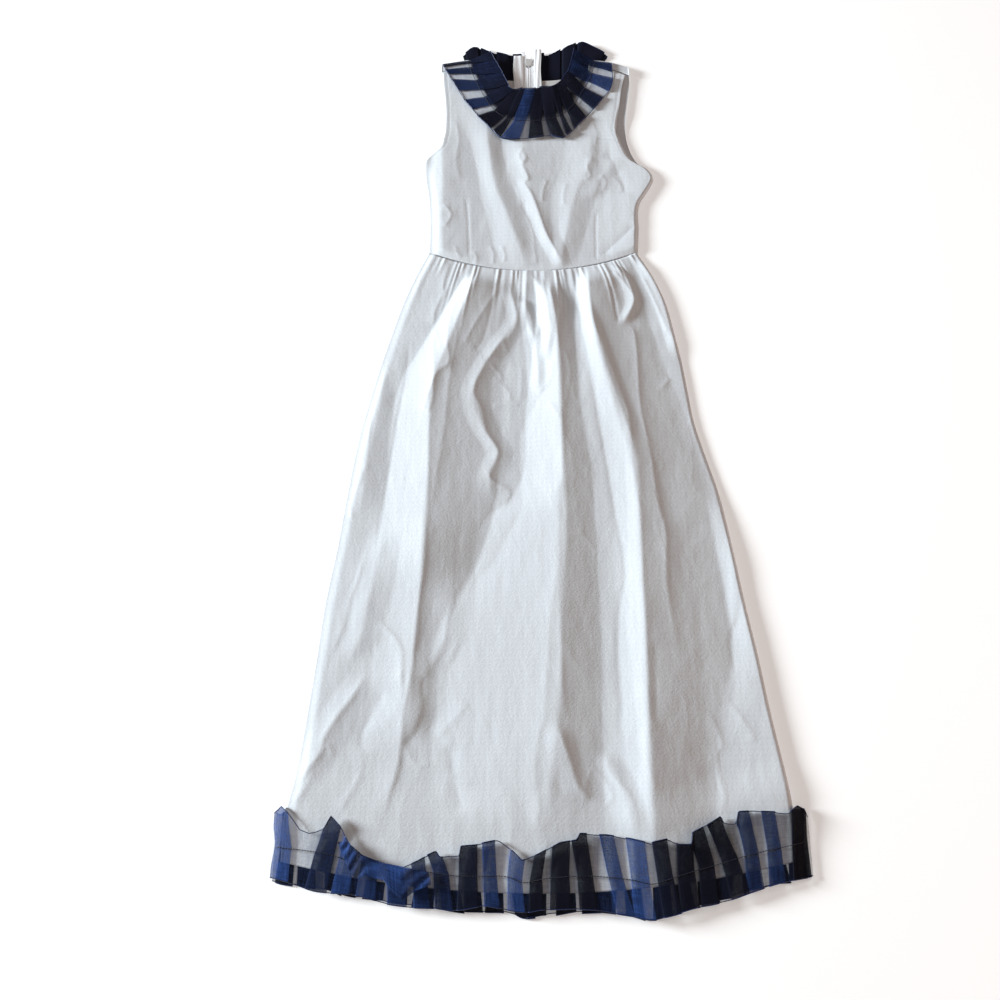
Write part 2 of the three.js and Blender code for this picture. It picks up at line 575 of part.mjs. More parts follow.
function buildZipSide(side, word) {
  const tape = (along, down) => {
    const y = mix(ZIP.topY, ZIP_END_Y, down);
    const out = mix(tapeInner(y), ZIP.tapeWide, along);
    return [CENTRE_BACK + side * out, y, clothTop(y) + GAP];
  };
  const rows = [0, 0.04, 0.054, 0.062, 0.12, 0.21, 0.225, 0.24, 0.255, 0.27, 0.285, 0.3, 0.33, 0.6, 1];
  wall(`zip_tape_${word}`, FABRIC.bazin, [0, 1], rows, tape, upright(ZIP.tape, tape));
  const facing = (along, down) => {
    const y = mix(side < 0 ? ZIP.topY - 10 : ZIP.topY + 4, FACING.bottomY, down);
    const out = ZIP.tapeWide + GAP + FACING.wide * along;
    return [CENTRE_BACK + side * out, y, clothTop(y) + GAP];
  };
  wall(`zip_facing_${word}`, FABRIC.lining, [0, 1], evenly(4), facing, upright(FACING.thick, facing));
}

function buildChain() {
  const sliderMouth = ZIP.sliderY - SLIDER.length / 2 + 7;
  const face = (along, down) => {
    const y = mix(sliderMouth, CHAIN_END_Y, down);
    return [CENTRE_BACK + mix(-ZIP.chainHalf, ZIP.chainHalf, along), y, clothTop(y) - 0.5];
  };
  const rows = [0, 0.08, 0.16, 0.18, 0.2, 0.22, 0.24, 0.26, 0.29, 0.6, 1];
  wall('zip_chain', FABRIC.bazin, [0, 1], rows, face, upright(ZIP.chain, face));
}

// Closed geometry to a solid that can be joined or cut, and back.
function toSolid(geometry) {
  const position = geometry.getAttribute('position');
  const numbers = new Map();
  const vertProperties = [];
  const triVerts = [];
  for (let k = 0; k < position.count; k += 1) {
    const xyz = [position.getX(k), position.getY(k), position.getZ(k)];
    const key = xyz.map((v) => v.toFixed(4)).join();
    if (!numbers.has(key)) {
      numbers.set(key, numbers.size);
      vertProperties.push(...xyz);
    }
    triVerts.push(numbers.get(key));
  }
  return new wasm.Manifold(new wasm.Mesh({
    numProp: 3,
    vertProperties: new Float32Array(vertProperties),
    triVerts: new Uint32Array(triVerts),
  }));
}
function addSolid(name, color, roughness, metalness, solid) {
  const mesh = solid.getMesh();
  return addMesh(name, color, roughness, Array.from(mesh.vertProperties), Array.from(mesh.triVerts), metalness);
}
function block(wide, long, high, x, y, z) {
  const geometry = new THREE.BoxGeometry(wide, long, high).toNonIndexed();
  return toSolid(geometry.translate(x, y, z));
}
function plate(outline, depth, z) {
  const settings = { depth, bevelEnabled: false, curveSegments: 6 };
  const geometry = new THREE.ExtrudeGeometry(outline, settings);
  return toSolid(geometry.index ? geometry.toNonIndexed().translate(0, 0, z) : geometry.translate(0, 0, z));
}

function buildSlider() {
  const half = SLIDER.length / 2;
  const outline = new THREE.Shape();
  outline.moveTo(-SLIDER.wideBottom / 2 + 1.5, -half);
  outline.lineTo(SLIDER.wideBottom / 2 - 1.5, -half);
  outline.quadraticCurveTo(SLIDER.wideBottom / 2, -half, SLIDER.wideBottom / 2, -half + 2);
  outline.lineTo(SLIDER.wideTop / 2, half - 4);
  outline.quadraticCurveTo(SLIDER.wideTop / 2, half, SLIDER.wideTop / 2 - 3.4, half);
  outline.lineTo(0.9, half);
  outline.lineTo(0, half - 2.4);
  outline.lineTo(-0.9, half);
  outline.lineTo(-SLIDER.wideTop / 2 + 3.4, half);
  outline.quadraticCurveTo(-SLIDER.wideTop / 2, half, -SLIDER.wideTop / 2, half - 4);
  outline.lineTo(-SLIDER.wideBottom / 2, -half + 2);
  outline.quadraticCurveTo(-SLIDER.wideBottom / 2, -half, -SLIDER.wideBottom / 2 + 1.5, -half);
  const groove = (x) => block(1.5, SLIDER.length, 0.8, x, -2, SLIDER.height);
  const channel = block(5, 8, 2.8, 0, -half + 3.9, SLIDER.height / 2 + 0.2);
  const depth = BRIDGE.inside + BRIDGE.bar;
  const post = (y) => block(BRIDGE.wide, BRIDGE.post, depth + 0.6, 0, y, 0.6 - (depth + 0.6) / 2);
  const bar = block(BRIDGE.wide, 2 * BRIDGE.half, BRIDGE.bar, 0, 0, -depth + BRIDGE.bar / 2);
  const bridge = post(BRIDGE.half - BRIDGE.post / 2).add(post(BRIDGE.post / 2 - BRIDGE.half)).add(bar);
  const body = plate(outline, SLIDER.height, 0).subtract(groove(-2.4)).subtract(groove(2.4));
  const slider = addSolid('zip_slider', 0xdfe2e8, 0.35, 0.3, body.subtract(channel).add(bridge));
  slider.position.set(CENTRE_BACK, ZIP.sliderY, SLIDER.bottomZ);
}

// The pull tab hangs on a cross bar inside the slider's bridge and points down the back.
function buildPull() {
  const half = PULL.wide / 2;
  const outline = new THREE.Shape();
  outline.moveTo(-half, 0.6);
  outline.lineTo(-half, -9);
  outline.lineTo(-half + 0.9, -12);
  outline.lineTo(-half + 0.3, -PULL.length + 3);
  outline.quadraticCurveTo(-half + 0.3, -PULL.length, 0, -PULL.length);
  outline.quadraticCurveTo(half - 0.3, -PULL.length, half - 0.3, -PULL.length + 3);
  outline.lineTo(half - 0.9, -12);
  outline.lineTo(half, -9);
  outline.lineTo(half, 0.6);
  outline.lineTo(-half, 0.6);
  const holeLong = PULL.holeTo - PULL.holeFrom;
  const hole = block(PULL.holeWide, holeLong, 4, 0, -PULL.holeFrom - holeLong / 2, 0);
  const tab = plate(outline, PULL.thick, -PULL.thick / 2).subtract(hole);
  const pull = addSolid('zip_pull', 0xdfe2e8, 0.35, 0.3, tab);
  pull.position.set(CENTRE_BACK, PULL_AXIS.y, PULL_AXIS.z);
}

buildSkirtFront();
buildSkirtBack('skirt_back_left', -1);
buildSkirtBack('skirt_back_right', 1);
buildBodiceFront();
buildBodiceBack('bodice_back_left', -1);
buildBodiceBack('bodice_back_right', 1);
buildHemRuffleFront();
buildHemRuffleBack();
buildNeckRuffleFront();
buildNeckRuffleBack('neck_ruffle_back_left', -1);
buildNeckRuffleBack('neck_ruffle_back_right', 1);
buildZipSide(-1, 'left');
buildZipSide(1, 'right');
buildChain();
buildSlider();
buildPull();

// The origin is the middle of the dress, on the surface that it lies on.
const bounds = new THREE.Box3().setFromObject(dress);
const middle = bounds.getCenter(new THREE.Vector3());
dress.position.set(-middle.x, -middle.y, -bounds.min.z);

export default dress;
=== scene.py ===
# %% [markdown]
# # A bazin dress with organza ruffles, laid flat
#
# Bazin is cotton damask that is waxed and beaten until it shines. It holds every crease it is
# folded into, so a bazin dress on a table shows wide, calm facets that meet at crisp lines.
# This lesson builds such a dress as thin sheets of points. Each sheet follows the solid of the
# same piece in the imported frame, and gets the creases that the solid is too coarse for.

import json
import math

import bpy
import numpy as np
from mathutils import Matrix, Vector
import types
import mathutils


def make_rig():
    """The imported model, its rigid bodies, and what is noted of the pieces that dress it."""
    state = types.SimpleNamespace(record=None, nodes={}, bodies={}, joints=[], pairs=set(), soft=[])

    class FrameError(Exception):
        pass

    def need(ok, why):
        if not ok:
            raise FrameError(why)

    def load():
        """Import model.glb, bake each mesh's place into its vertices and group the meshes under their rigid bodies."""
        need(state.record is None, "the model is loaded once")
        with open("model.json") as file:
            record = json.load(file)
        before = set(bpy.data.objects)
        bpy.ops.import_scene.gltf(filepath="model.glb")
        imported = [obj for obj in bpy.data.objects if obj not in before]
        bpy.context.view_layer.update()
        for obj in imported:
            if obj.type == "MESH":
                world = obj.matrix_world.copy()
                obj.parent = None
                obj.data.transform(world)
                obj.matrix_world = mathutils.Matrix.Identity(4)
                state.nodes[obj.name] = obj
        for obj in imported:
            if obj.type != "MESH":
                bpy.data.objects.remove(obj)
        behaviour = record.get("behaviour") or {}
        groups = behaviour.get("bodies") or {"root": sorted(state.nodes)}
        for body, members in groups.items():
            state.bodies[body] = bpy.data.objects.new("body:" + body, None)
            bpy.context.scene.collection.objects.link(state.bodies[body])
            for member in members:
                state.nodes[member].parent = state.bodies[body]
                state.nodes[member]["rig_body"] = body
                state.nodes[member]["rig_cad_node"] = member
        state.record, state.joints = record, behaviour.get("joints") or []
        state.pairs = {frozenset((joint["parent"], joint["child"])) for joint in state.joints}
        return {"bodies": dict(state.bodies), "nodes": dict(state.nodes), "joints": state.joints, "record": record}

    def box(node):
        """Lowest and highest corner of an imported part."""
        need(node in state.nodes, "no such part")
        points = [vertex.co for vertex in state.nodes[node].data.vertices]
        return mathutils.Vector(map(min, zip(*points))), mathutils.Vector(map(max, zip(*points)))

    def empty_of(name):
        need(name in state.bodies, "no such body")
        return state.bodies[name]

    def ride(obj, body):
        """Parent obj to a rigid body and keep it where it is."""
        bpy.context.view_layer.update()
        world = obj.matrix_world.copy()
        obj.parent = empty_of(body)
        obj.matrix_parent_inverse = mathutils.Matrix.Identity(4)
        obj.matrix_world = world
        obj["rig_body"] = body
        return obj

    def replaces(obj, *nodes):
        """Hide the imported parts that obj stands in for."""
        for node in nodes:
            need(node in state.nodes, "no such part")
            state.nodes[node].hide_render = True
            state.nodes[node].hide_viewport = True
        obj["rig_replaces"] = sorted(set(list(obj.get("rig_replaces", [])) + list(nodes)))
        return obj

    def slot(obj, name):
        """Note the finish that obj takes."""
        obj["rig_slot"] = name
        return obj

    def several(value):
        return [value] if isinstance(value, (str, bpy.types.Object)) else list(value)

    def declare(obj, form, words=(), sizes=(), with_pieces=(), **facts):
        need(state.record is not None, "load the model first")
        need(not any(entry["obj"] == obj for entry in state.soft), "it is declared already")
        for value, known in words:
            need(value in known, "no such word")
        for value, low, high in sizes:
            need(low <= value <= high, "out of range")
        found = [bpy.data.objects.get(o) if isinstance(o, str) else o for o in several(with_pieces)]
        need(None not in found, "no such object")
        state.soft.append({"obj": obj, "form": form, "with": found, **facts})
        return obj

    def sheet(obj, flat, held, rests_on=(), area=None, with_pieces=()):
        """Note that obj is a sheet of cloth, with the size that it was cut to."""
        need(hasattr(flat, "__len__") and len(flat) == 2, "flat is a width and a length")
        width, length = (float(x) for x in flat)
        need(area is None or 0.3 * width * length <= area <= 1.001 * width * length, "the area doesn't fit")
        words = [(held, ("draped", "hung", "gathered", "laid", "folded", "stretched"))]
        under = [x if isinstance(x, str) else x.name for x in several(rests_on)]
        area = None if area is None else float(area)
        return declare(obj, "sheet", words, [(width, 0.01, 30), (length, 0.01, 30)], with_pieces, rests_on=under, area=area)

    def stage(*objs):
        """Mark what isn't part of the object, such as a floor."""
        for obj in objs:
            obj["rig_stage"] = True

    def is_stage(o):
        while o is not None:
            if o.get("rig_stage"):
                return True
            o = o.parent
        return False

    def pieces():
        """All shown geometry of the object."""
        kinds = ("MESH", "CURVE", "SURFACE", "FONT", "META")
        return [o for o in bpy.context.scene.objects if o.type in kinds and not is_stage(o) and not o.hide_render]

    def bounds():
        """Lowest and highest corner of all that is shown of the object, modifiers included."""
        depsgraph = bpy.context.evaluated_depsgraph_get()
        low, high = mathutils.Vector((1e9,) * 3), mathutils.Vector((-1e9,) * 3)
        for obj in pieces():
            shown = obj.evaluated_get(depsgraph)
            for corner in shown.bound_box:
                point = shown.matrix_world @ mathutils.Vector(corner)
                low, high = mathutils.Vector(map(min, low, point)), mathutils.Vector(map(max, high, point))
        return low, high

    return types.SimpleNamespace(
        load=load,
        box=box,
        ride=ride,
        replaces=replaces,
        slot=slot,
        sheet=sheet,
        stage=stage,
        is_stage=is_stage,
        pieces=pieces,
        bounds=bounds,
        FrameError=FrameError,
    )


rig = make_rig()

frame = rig.load()
cad_low, cad_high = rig.bounds()

MM = 0.001
SLIDER_Y = 680
slider_low, slider_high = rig.box("zip_slider")
SHIFT_Y = (slider_low.y + slider_high.y) / 2 / MM - SLIDER_Y
print("frame in mm:", [round(v / MM, 1) for v in cad_low], [round(v / MM, 1) for v in cad_high])
print("plan y to frame y in mm:", round(SHIFT_Y, 3))

# %% [markdown]
# ## Camera, floor and light
#
# The dress is seen from above and a little from the hem side. The key light is low and comes
# from the left, because a low light turns small slopes into clear tones: a flank that rises
# toward the right catches it and the flank behind the crest falls into grey. The key is cool
# and the fill from the right is warm, which gives the shadows their faint brown.

# %% Camera
TARGET = Vector((-0.0556, -0.1340, 0.008))
EYE = Vector((-0.0556, -0.6840, 1.519))
camera_data = bpy.data.cameras.new("camera")
camera_data.lens = 38.6
camera_data.sensor_width = 36
camera = bpy.data.objects.new("camera", camera_data)
camera.location = EYE
camera.rotation_euler = (TARGET - EYE).to_track_quat("-Z", "Y").to_euler()
bpy.context.collection.objects.link(camera)
bpy.context.scene.camera = camera
print("camera distance in m:", round((TARGET - EYE).length, 3))


# %% Light and floor
def area_light(name, place, aim, size, power, color):
    data = bpy.data.lights.new(name, "AREA")
    data.shape = "DISK"
    data.size = size
    data.energy = power
    data.color = color
    lamp = bpy.data.objects.new(name, data)
    lamp.location = place
    lamp.rotation_euler = (Vector(aim) - Vector(place)).to_track_quat("-Z", "Y").to_euler()
    bpy.context.collection.objects.link(lamp)


area_light("key_light", (-5.8, 0.7, 1.75), (-0.05, -0.1, 0), 1.7, 830, (0.875, 0.955, 1.0))
area_light("fill_light", (2.6, -0.4, 0.8), (0.05, -0.1, 0), 1.6, 17, (1.0, 0.68, 0.50))
area_light("top_light", (0.1, 0.9, 2.4), (0, 0.6, 0), 1.0, 5, (0.95, 0.98, 1.0))

world = bpy.data.worlds.new("soft_room")
world.use_nodes = True
backdrop = world.node_tree.nodes["Background"]
backdrop.inputs["Color"].default_value = (1.0, 0.82, 0.73, 1)
backdrop.inputs["Strength"].default_value = 0.18
bpy.context.scene.world = world
bpy.context.scene.view_settings.view_transform = "Standard"
bpy.context.scene.cycles.transparent_max_bounces = 24

FLOOR_HALF, FLOOR_DROP = 6.0, 0.0006
floor_mesh = bpy.data.meshes.new("floor")
corners = [(x * FLOOR_HALF, y * FLOOR_HALF, -FLOOR_DROP) for x, y in ((-1, -1), (1, -1), (1, 1), (-1, 1))]
floor_mesh.from_pydata(corners, [], [(0, 1, 2, 3)])
floor = bpy.data.objects.new("floor", floor_mesh)
bpy.context.collection.objects.link(floor)
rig.stage(floor)
print("lights:", [lamp.name for lamp in bpy.data.lights])

# %% [markdown]
# ## Helpers for curves
#
# All outlines and folds are short tables of points. `curve_through` reads such a table along a
# smooth curve, for a whole array of places at once.


# %% Curve helpers
def clamp(value):
    return np.clip(value, 0.0, 1.0)


def mix(a, b, share):
    return a + (b - a) * share


def smooth(value):
    t = clamp(value)
    return t * t * (3 - 2 * t)


def curve_through(places, values, wanted):
    a = np.asarray(places, float)
    b = np.asarray(values, float)
    if a[-1] < a[0]:
        a, b = a[::-1], b[::-1]
    wanted = np.clip(wanted, a[0], a[-1])
    i = np.clip(np.searchsorted(a, wanted, side="right") - 1, 0, len(a) - 2)
    slopes = np.diff(b) / np.diff(a)
    here = slopes[i]
    before = np.where(i > 0, (slopes[np.maximum(i - 1, 0)] + here) / 2, here)
    last = len(slopes) - 1
    after = np.where(i < last, (slopes[np.minimum(i + 1, last)] + here) / 2, here)
    run = a[i + 1] - a[i]
    t = (wanted - a[i]) / run
    blend = t * t * (3 - 2 * t)
    return mix(b[i], b[i + 1], blend) + run * t * (1 - t) * (before * (1 - t) - after * t)


def column(table, key_from, key_to, wanted):
    names, rows = table
    i, j = names.index(key_from), names.index(key_to)
    return curve_through([row[i] for row in rows], [row[j] for row in rows], wanted)


def unit_grid(columns, rows):
    """Shares from 0 to 1 along each row and down each column of a sheet."""
    return np.meshgrid(np.linspace(0, 1, columns), np.linspace(0, 1, rows))


def line_through(points, parts):
    """A finer line through a few points, evenly split between each two."""
    points = np.asarray(points, float)
    knots = np.arange(len(points))
    fine = np.linspace(0, len(points) - 1, parts * (len(points) - 1) + 1)
    return np.stack([curve_through(knots, points[:, k], fine) for k in range(points.shape[1])], -1)


def ripple(x, y, seed):
    """Soft seeded noise from -1 to 1, one bump for each unit of x and y."""
    table = np.random.default_rng(seed).uniform(-1, 1, (64, 64))
    i, j = np.floor(x).astype(int), np.floor(y).astype(int)
    u, v = smooth(x - i), smooth(y - j)
    a = mix(table[i % 64, j % 64], table[(i + 1) % 64, j % 64], u)
    b = mix(table[i % 64, (j + 1) % 64], table[(i + 1) % 64, (j + 1) % 64], u)
    return mix(a, b, v)


print("halfway up a step:", float(smooth(0.5)))

# %% [markdown]
# ## Helpers for sheets
#
# A sheet is a grid of points. Its rim turns down by the cloth's thickness, so that an edge
# looks like a turned hem and no light gets in below it. The texture coordinates are the
# cloth's own millimetres, so the weave follows every crease.


# %% Sheet helpers
NOT_ZERO = 1e-9
EDGE_ROUND = 0.2
END_SIZE = 0.35
STITCH_DIP = 0.05 + 0.15


def placed(points):
    """Plan millimetres to frame metres."""
    out = np.array(points, float)
    out[..., 1] += SHIFT_Y
    return out * MM


def mesh_object(name, points, quads, material, uv):
    mesh = bpy.data.meshes.new(name)
    mesh.from_pydata(placed(points).reshape(-1, 3).tolist(), [], quads.tolist())
    layer = mesh.uv_layers.new(name="cloth")
    corner = np.empty(len(mesh.loops), int)
    mesh.loops.foreach_get("vertex_index", corner)
    layer.data.foreach_set("uv", (uv.reshape(-1, 2) * MM)[corner].astype(np.float32).ravel())
    mesh.polygons.foreach_set("use_smooth", np.ones(len(mesh.polygons), bool))
    mesh.materials.append(material)
    mesh.update()
    made = bpy.data.objects.new(name, mesh)
    bpy.context.collection.objects.link(made)
    return made


def quads_of(index):
    """Four corners for each cell in a grid of point numbers."""
    corners = [index[:-1, :-1], index[1:, :-1], index[1:, 1:], index[:-1, 1:]]
    return np.stack(corners, -1).reshape(-1, 4)


def grid_quads(rows, columns, face_down=False):
    quads = quads_of(np.arange(rows * columns).reshape(rows, columns))
    return quads[:, ::-1] if face_down else quads


def sheet_object(name, x, y, z, material, rim, mirrored=False):
    """One sheet of cloth. rim is how far its edge turns down, or up when it is negative."""
    points = np.stack([x, y, z], -1)
    if mirrored:
        points = points[:, ::-1]
    uv = points[..., :2]
    for share in (EDGE_ROUND, 1 - EDGE_ROUND):
        points = np.pad(points, ((1, 1), (1, 1), (0, 0)), mode="edge")
        uv = np.pad(uv, ((1, 1), (1, 1), (0, 0)), mode="edge")
        ring = np.ones(points.shape[:2], bool)
        ring[1:-1, 1:-1] = False
        points[ring, 2] -= rim * share
    quads = grid_quads(*points.shape[:2], face_down=rim < 0)
    return mesh_object(name, points, quads, material, uv)


def tube_object(name, lines, radius, material, sides=6, closed_ends=True):
    """Round threads or cords along lines of points, all in one object."""
    points, quads, start = [], [], 0
    for line in lines:
        line = np.asarray(line, float)
        along = np.gradient(line, axis=0)
        along /= np.linalg.norm(along, axis=1, keepdims=True) + NOT_ZERO
        aside = np.cross(along, np.array([0, 0, 1.0]))
        aside /= np.linalg.norm(aside, axis=1, keepdims=True) + NOT_ZERO
        over = np.cross(aside, along)
        size = np.full(len(line), radius)
        if closed_ends:
            size[[0, -1]] *= END_SIZE
        turn = np.linspace(0, 2 * np.pi, sides, endpoint=False)[None, :, None]
        ring = aside[:, None] * np.cos(turn) + over[:, None] * np.sin(turn)
        points.append((line[:, None] + ring * size[:, None, None]).reshape(-1, 3))
        index = start + np.arange(len(line) * sides).reshape(len(line), sides)
        nxt = np.roll(index, -1, axis=1)
        quads.append(np.stack([index[:-1], nxt[:-1], nxt[1:], index[1:]], -1).reshape(-1, 4))
        start += len(line) * sides
    points = np.concatenate(points)
    return mesh_object(name, points, np.concatenate(quads), material, points[:, :2])


def stitches(line, length, gap):
    """Cuts a line on the cloth into single stitches that dip in at both ends."""
    line = np.asarray(line, float)
    run = np.concatenate([[0], np.cumsum(np.linalg.norm(np.diff(line, axis=0), axis=1))])
    out = []
    place = 0.0
    while place + length < run[-1]:
        at = np.linspace(place, place + length, 5)
        stitch = np.stack([np.interp(at, run, line[:, k]) for k in range(3)], -1)
        stitch[[0, -1], 2] -= STITCH_DIP
        out.append(stitch)
        place += length + gap
    return out


def finish_piece(made, slot, *nodes, body="dress"):
    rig.ride(made, body)
    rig.slot(made, slot)
    if nodes:
        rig.replaces(made, *nodes)
    print(made.name, "faces:", len(made.data.polygons))
    return made


# %% [markdown]
# ## Finishes
#
# Two small node groups hold the weaves. `cloth_grain` gives a weave height, a damask mask and
# slow uneven wax, and three cloths share it: the white bazin, a darker and warmer copy of it that
# is painted shade on the inner side seen through the neck, and a whiter facing that is painted
# light. `sheer_weave` gives the height and the uneven density of organza. Their inputs say how
# crumpled, how large in its motif or how dense a cloth is. The surface nodes stay in each
# material, so a finish can be changed in one place.


# %% Node helpers
def new_group(name, inputs, outputs):
    """A group with named inputs, each with its usual value, and named outputs."""
    group = bpy.data.node_groups.new(name, "ShaderNodeTree")
    for title, value in inputs.items():
        socket = group.interface.new_socket(title, in_out="INPUT", socket_type="NodeSocketFloat")
        socket.default_value = value
    for title in outputs:
        group.interface.new_socket(title, in_out="OUTPUT", socket_type="NodeSocketFloat")
    return group, group.nodes.new("NodeGroupInput"), group.nodes.new("NodeGroupOutput")


def add_node(tree, kind, settings=(), **values):
    """Adds a node, sets what it is like, then its inputs: From_Min stands for From Min."""
    made = tree.nodes.new("ShaderNode" + kind)
    for title, value in dict(settings).items():
        setattr(made, title, value)
    for title, value in values.items():
        made.inputs[title.replace("_", " ")].default_value = value
    return made


def math_node(tree, operation, place=None, value=None, clamped=False):
    """A math node with one of its three inputs set."""
    made = add_node(tree, "Math", {"operation": operation, "use_clamp": clamped})
    if place is not None:
        made.inputs[place].default_value = value
    return made


def wire(tree, *links):
    """Each link names a node and its output, then the node and the input that it feeds."""
    for source, out, target, into in links:
        tree.links.new(source.outputs[out], target.inputs[into])


def new_material(name):
    made = bpy.data.materials.new(name)
    made.use_nodes = True
    return made, made.node_tree, made.node_tree.nodes["Principled BSDF"]


# %% Shared groups
SMOOTH_STEP = {"interpolation_type": "SMOOTHSTEP"}
grain, grain_in, grain_out = new_group(
    "cloth_grain", {"Crumple": 1.8, "Motif Scale": 130.0}, ["Height", "Damask", "Wax"])
cloth_uv = add_node(grain, "TexCoord")
slub_map = add_node(grain, "Mapping", Rotation=(0, 0, math.radians(35)), Scale=(260, 420, 1))
slub = add_node(grain, "TexNoise", Scale=1.0, Detail=2.0)
crumple_map = add_node(grain, "Mapping", Rotation=(0, 0, math.radians(20)), Scale=(44, 26, 1))
crumple = add_node(grain, "TexNoise", Scale=1.0, Detail=4.0, Distortion=0.7)
crumpled = math_node(grain, "MULTIPLY_ADD")
warp_by = add_node(grain, "TexNoise", Scale=16.0, Detail=2.0)
bent = add_node(grain, "VectorMath", {"operation": "MULTIPLY_ADD"})
bent.inputs[1].default_value = (0.05, 0.05, 0)
facet_map = add_node(grain, "Mapping", Rotation=(0, 0, math.radians(-14)), Scale=(24, 13, 1))
facets = add_node(grain, "TexVoronoi", {"feature": "F1"}, Scale=1.0)
patches = add_node(grain, "TexNoise", Scale=5.5, Detail=1.0)
patchy = add_node(grain, "MapRange", SMOOTH_STEP, From_Min=0.42, From_Max=0.68, To_Max=3.4)
relief_sum = math_node(grain, "MULTIPLY_ADD")
motif = add_node(grain, "TexVoronoi", {"feature": "SMOOTH_F1"}, Smoothness=0.6, Randomness=0.0)
motif_step = add_node(grain, "MapRange", SMOOTH_STEP, From_Min=0.32, From_Max=0.44)
wax = add_node(grain, "TexNoise", Scale=9.0, Detail=3.0)
for reader in (slub_map, crumple_map, warp_by, patches, motif, wax):
    wire(grain, (cloth_uv, "UV", reader, "Vector"))
wire(grain,
     (slub_map, "Vector", slub, "Vector"), (crumple_map, "Vector", crumple, "Vector"),
     (crumple, "Fac", crumpled, 0), (grain_in, "Crumple", crumpled, 1), (slub, "Fac", crumpled, 2),
     (grain_in, "Motif Scale", motif, "Scale"),
     (warp_by, "Color", bent, 0), (cloth_uv, "UV", bent, 2),
     (bent, "Vector", facet_map, "Vector"), (facet_map, "Vector", facets, "Vector"),
     (patches, "Fac", patchy, "Value"), (facets, "Distance", relief_sum, 0),
     (patchy, "Result", relief_sum, 1), (crumpled, "Value", relief_sum, 2),
     (motif, "Distance", motif_step, "Value"), (relief_sum, "Value", grain_out, "Height"),
     (motif_step, "Result", grain_out, "Damask"), (wax, "Fac", grain_out, "Wax"))

sheer, sheer_in, sheer_out = new_group("sheer_weave", {"Thickness": 0.5}, ["Height", "Density"])
sheer_uv = add_node(sheer, "TexCoord")
threads = math_node(sheer, "ADD")
density = math_node(sheer, "MULTIPLY")
for place, scale in enumerate(((620, 45, 1), (45, 620, 1))):
    stretch = add_node(sheer, "Mapping", Scale=scale)
    yarn = add_node(sheer, "TexNoise", Scale=1.0, Detail=2.0)
    wire(sheer, (sheer_uv, "UV", stretch, "Vector"), (stretch, "Vector", yarn, "Vector"),
         (yarn, "Fac", threads, place))
wire(sheer, (threads, "Value", sheer_out, "Height"), (threads, "Value", density, 0),
     (sheer_in, "Thickness", density, 1), (density, "Value", sheer_out, "Density"))
print("groups:", [g.name for g in bpy.data.node_groups])


# %% Cloth finishes
def cloth_material(name, plain, woven, bump):
    """Waxed damask: plain is the ground and woven the motif, a shade apart."""
    made, tree, surface = new_material(name)
    shared = add_node(tree, "Group", {"node_tree": grain}, Crumple=1.8, Motif_Scale=130.0)
    tone = add_node(tree, "Mix", {"data_type": "RGBA"}, A=plain, B=woven)
    shine = add_node(tree, "MapRange", To_Min=0.42, To_Max=0.6)
    relief = add_node(tree, "Bump", Strength=bump, Distance=0.0006)
    wire(tree,
         (shared, "Damask", tone, "Factor"), (tone, "Result", surface, "Base Color"),
         (shared, "Wax", shine, "Value"), (shine, "Result", surface, "Roughness"),
         (shared, "Height", relief, "Height"), (relief, "Normal", surface, "Normal"))
    surface.inputs["Specular IOR Level"].default_value = 0.26
    surface.inputs["Sheen Weight"].default_value = 0.12
    surface.inputs["Sheen Roughness"].default_value = 0.4
    return made


bazin = cloth_material("bazin_white", (0.665, 0.695, 0.73, 1), (0.685, 0.715, 0.75, 1), 0.5)
# A darker, warmer copy of the bazin: painted shade for the inner side of the back that shows through the neck opening.
painted_shade_inside = cloth_material("bazin_inside_painted_shade", (0.60, 0.575, 0.56, 1), (0.62, 0.60, 0.58, 1), 0.35)
# Facings and zip tapes: a whiter ground than the bazin, painted light that lifts them out of the shade of the neck
# ruffle.
lining = cloth_material("facing_white", (0.93, 0.95, 0.98, 1), (0.93, 0.95, 0.98, 1), 0.5)

# Organza: the fold attribute says how many layers lie on each other, and so how opaque it is. The painted_sheen
# attribute paints a bright sheen colour over the navy and makes the layer clearer there; where it is negative it
# paints shade instead.
organza, tree, surface = new_material("organza_navy")
weave = add_node(tree, "Group", {"node_tree": sheer}, Thickness=0.5)
fold_fact = add_node(tree, "Attribute", {"attribute_name": "fold"})
painted_sheen_fact = add_node(tree, "Attribute", {"attribute_name": "painted_sheen"})
uneven_thread = {"From_Min": 0.35, "From_Max": 0.65}
single = add_node(tree, "MapRange", **uneven_thread, To_Min=0.13, To_Max=0.41)
threefold = add_node(tree, "MapRange", **uneven_thread, To_Min=0.50, To_Max=0.76)
boost = add_node(tree, "MapRange", **uneven_thread, To_Min=0.2, To_Max=1.0)
opacity = add_node(tree, "Mix", {"data_type": "FLOAT", "clamp_factor": False})
clearer = math_node(tree, "MULTIPLY_ADD", 1, -0.20)
painted_sheen_patch = math_node(tree, "MULTIPLY")
lone = math_node(tree, "SUBTRACT", 0, 1.0, clamped=True)
lit_through = math_node(tree, "MULTIPLY_ADD", 1, 0.16, clamped=True)
dye_and_painted_sheen = add_node(tree, "Mix", {"data_type": "RGBA"}, A=(0.007, 0.008, 0.017, 1), B=(0.038, 0.094, 0.32, 1))
relief = add_node(tree, "Bump", Strength=0.3, Distance=0.0001)
for reader in (single, threefold, boost):
    wire(tree, (weave, "Density", reader, "Value"))
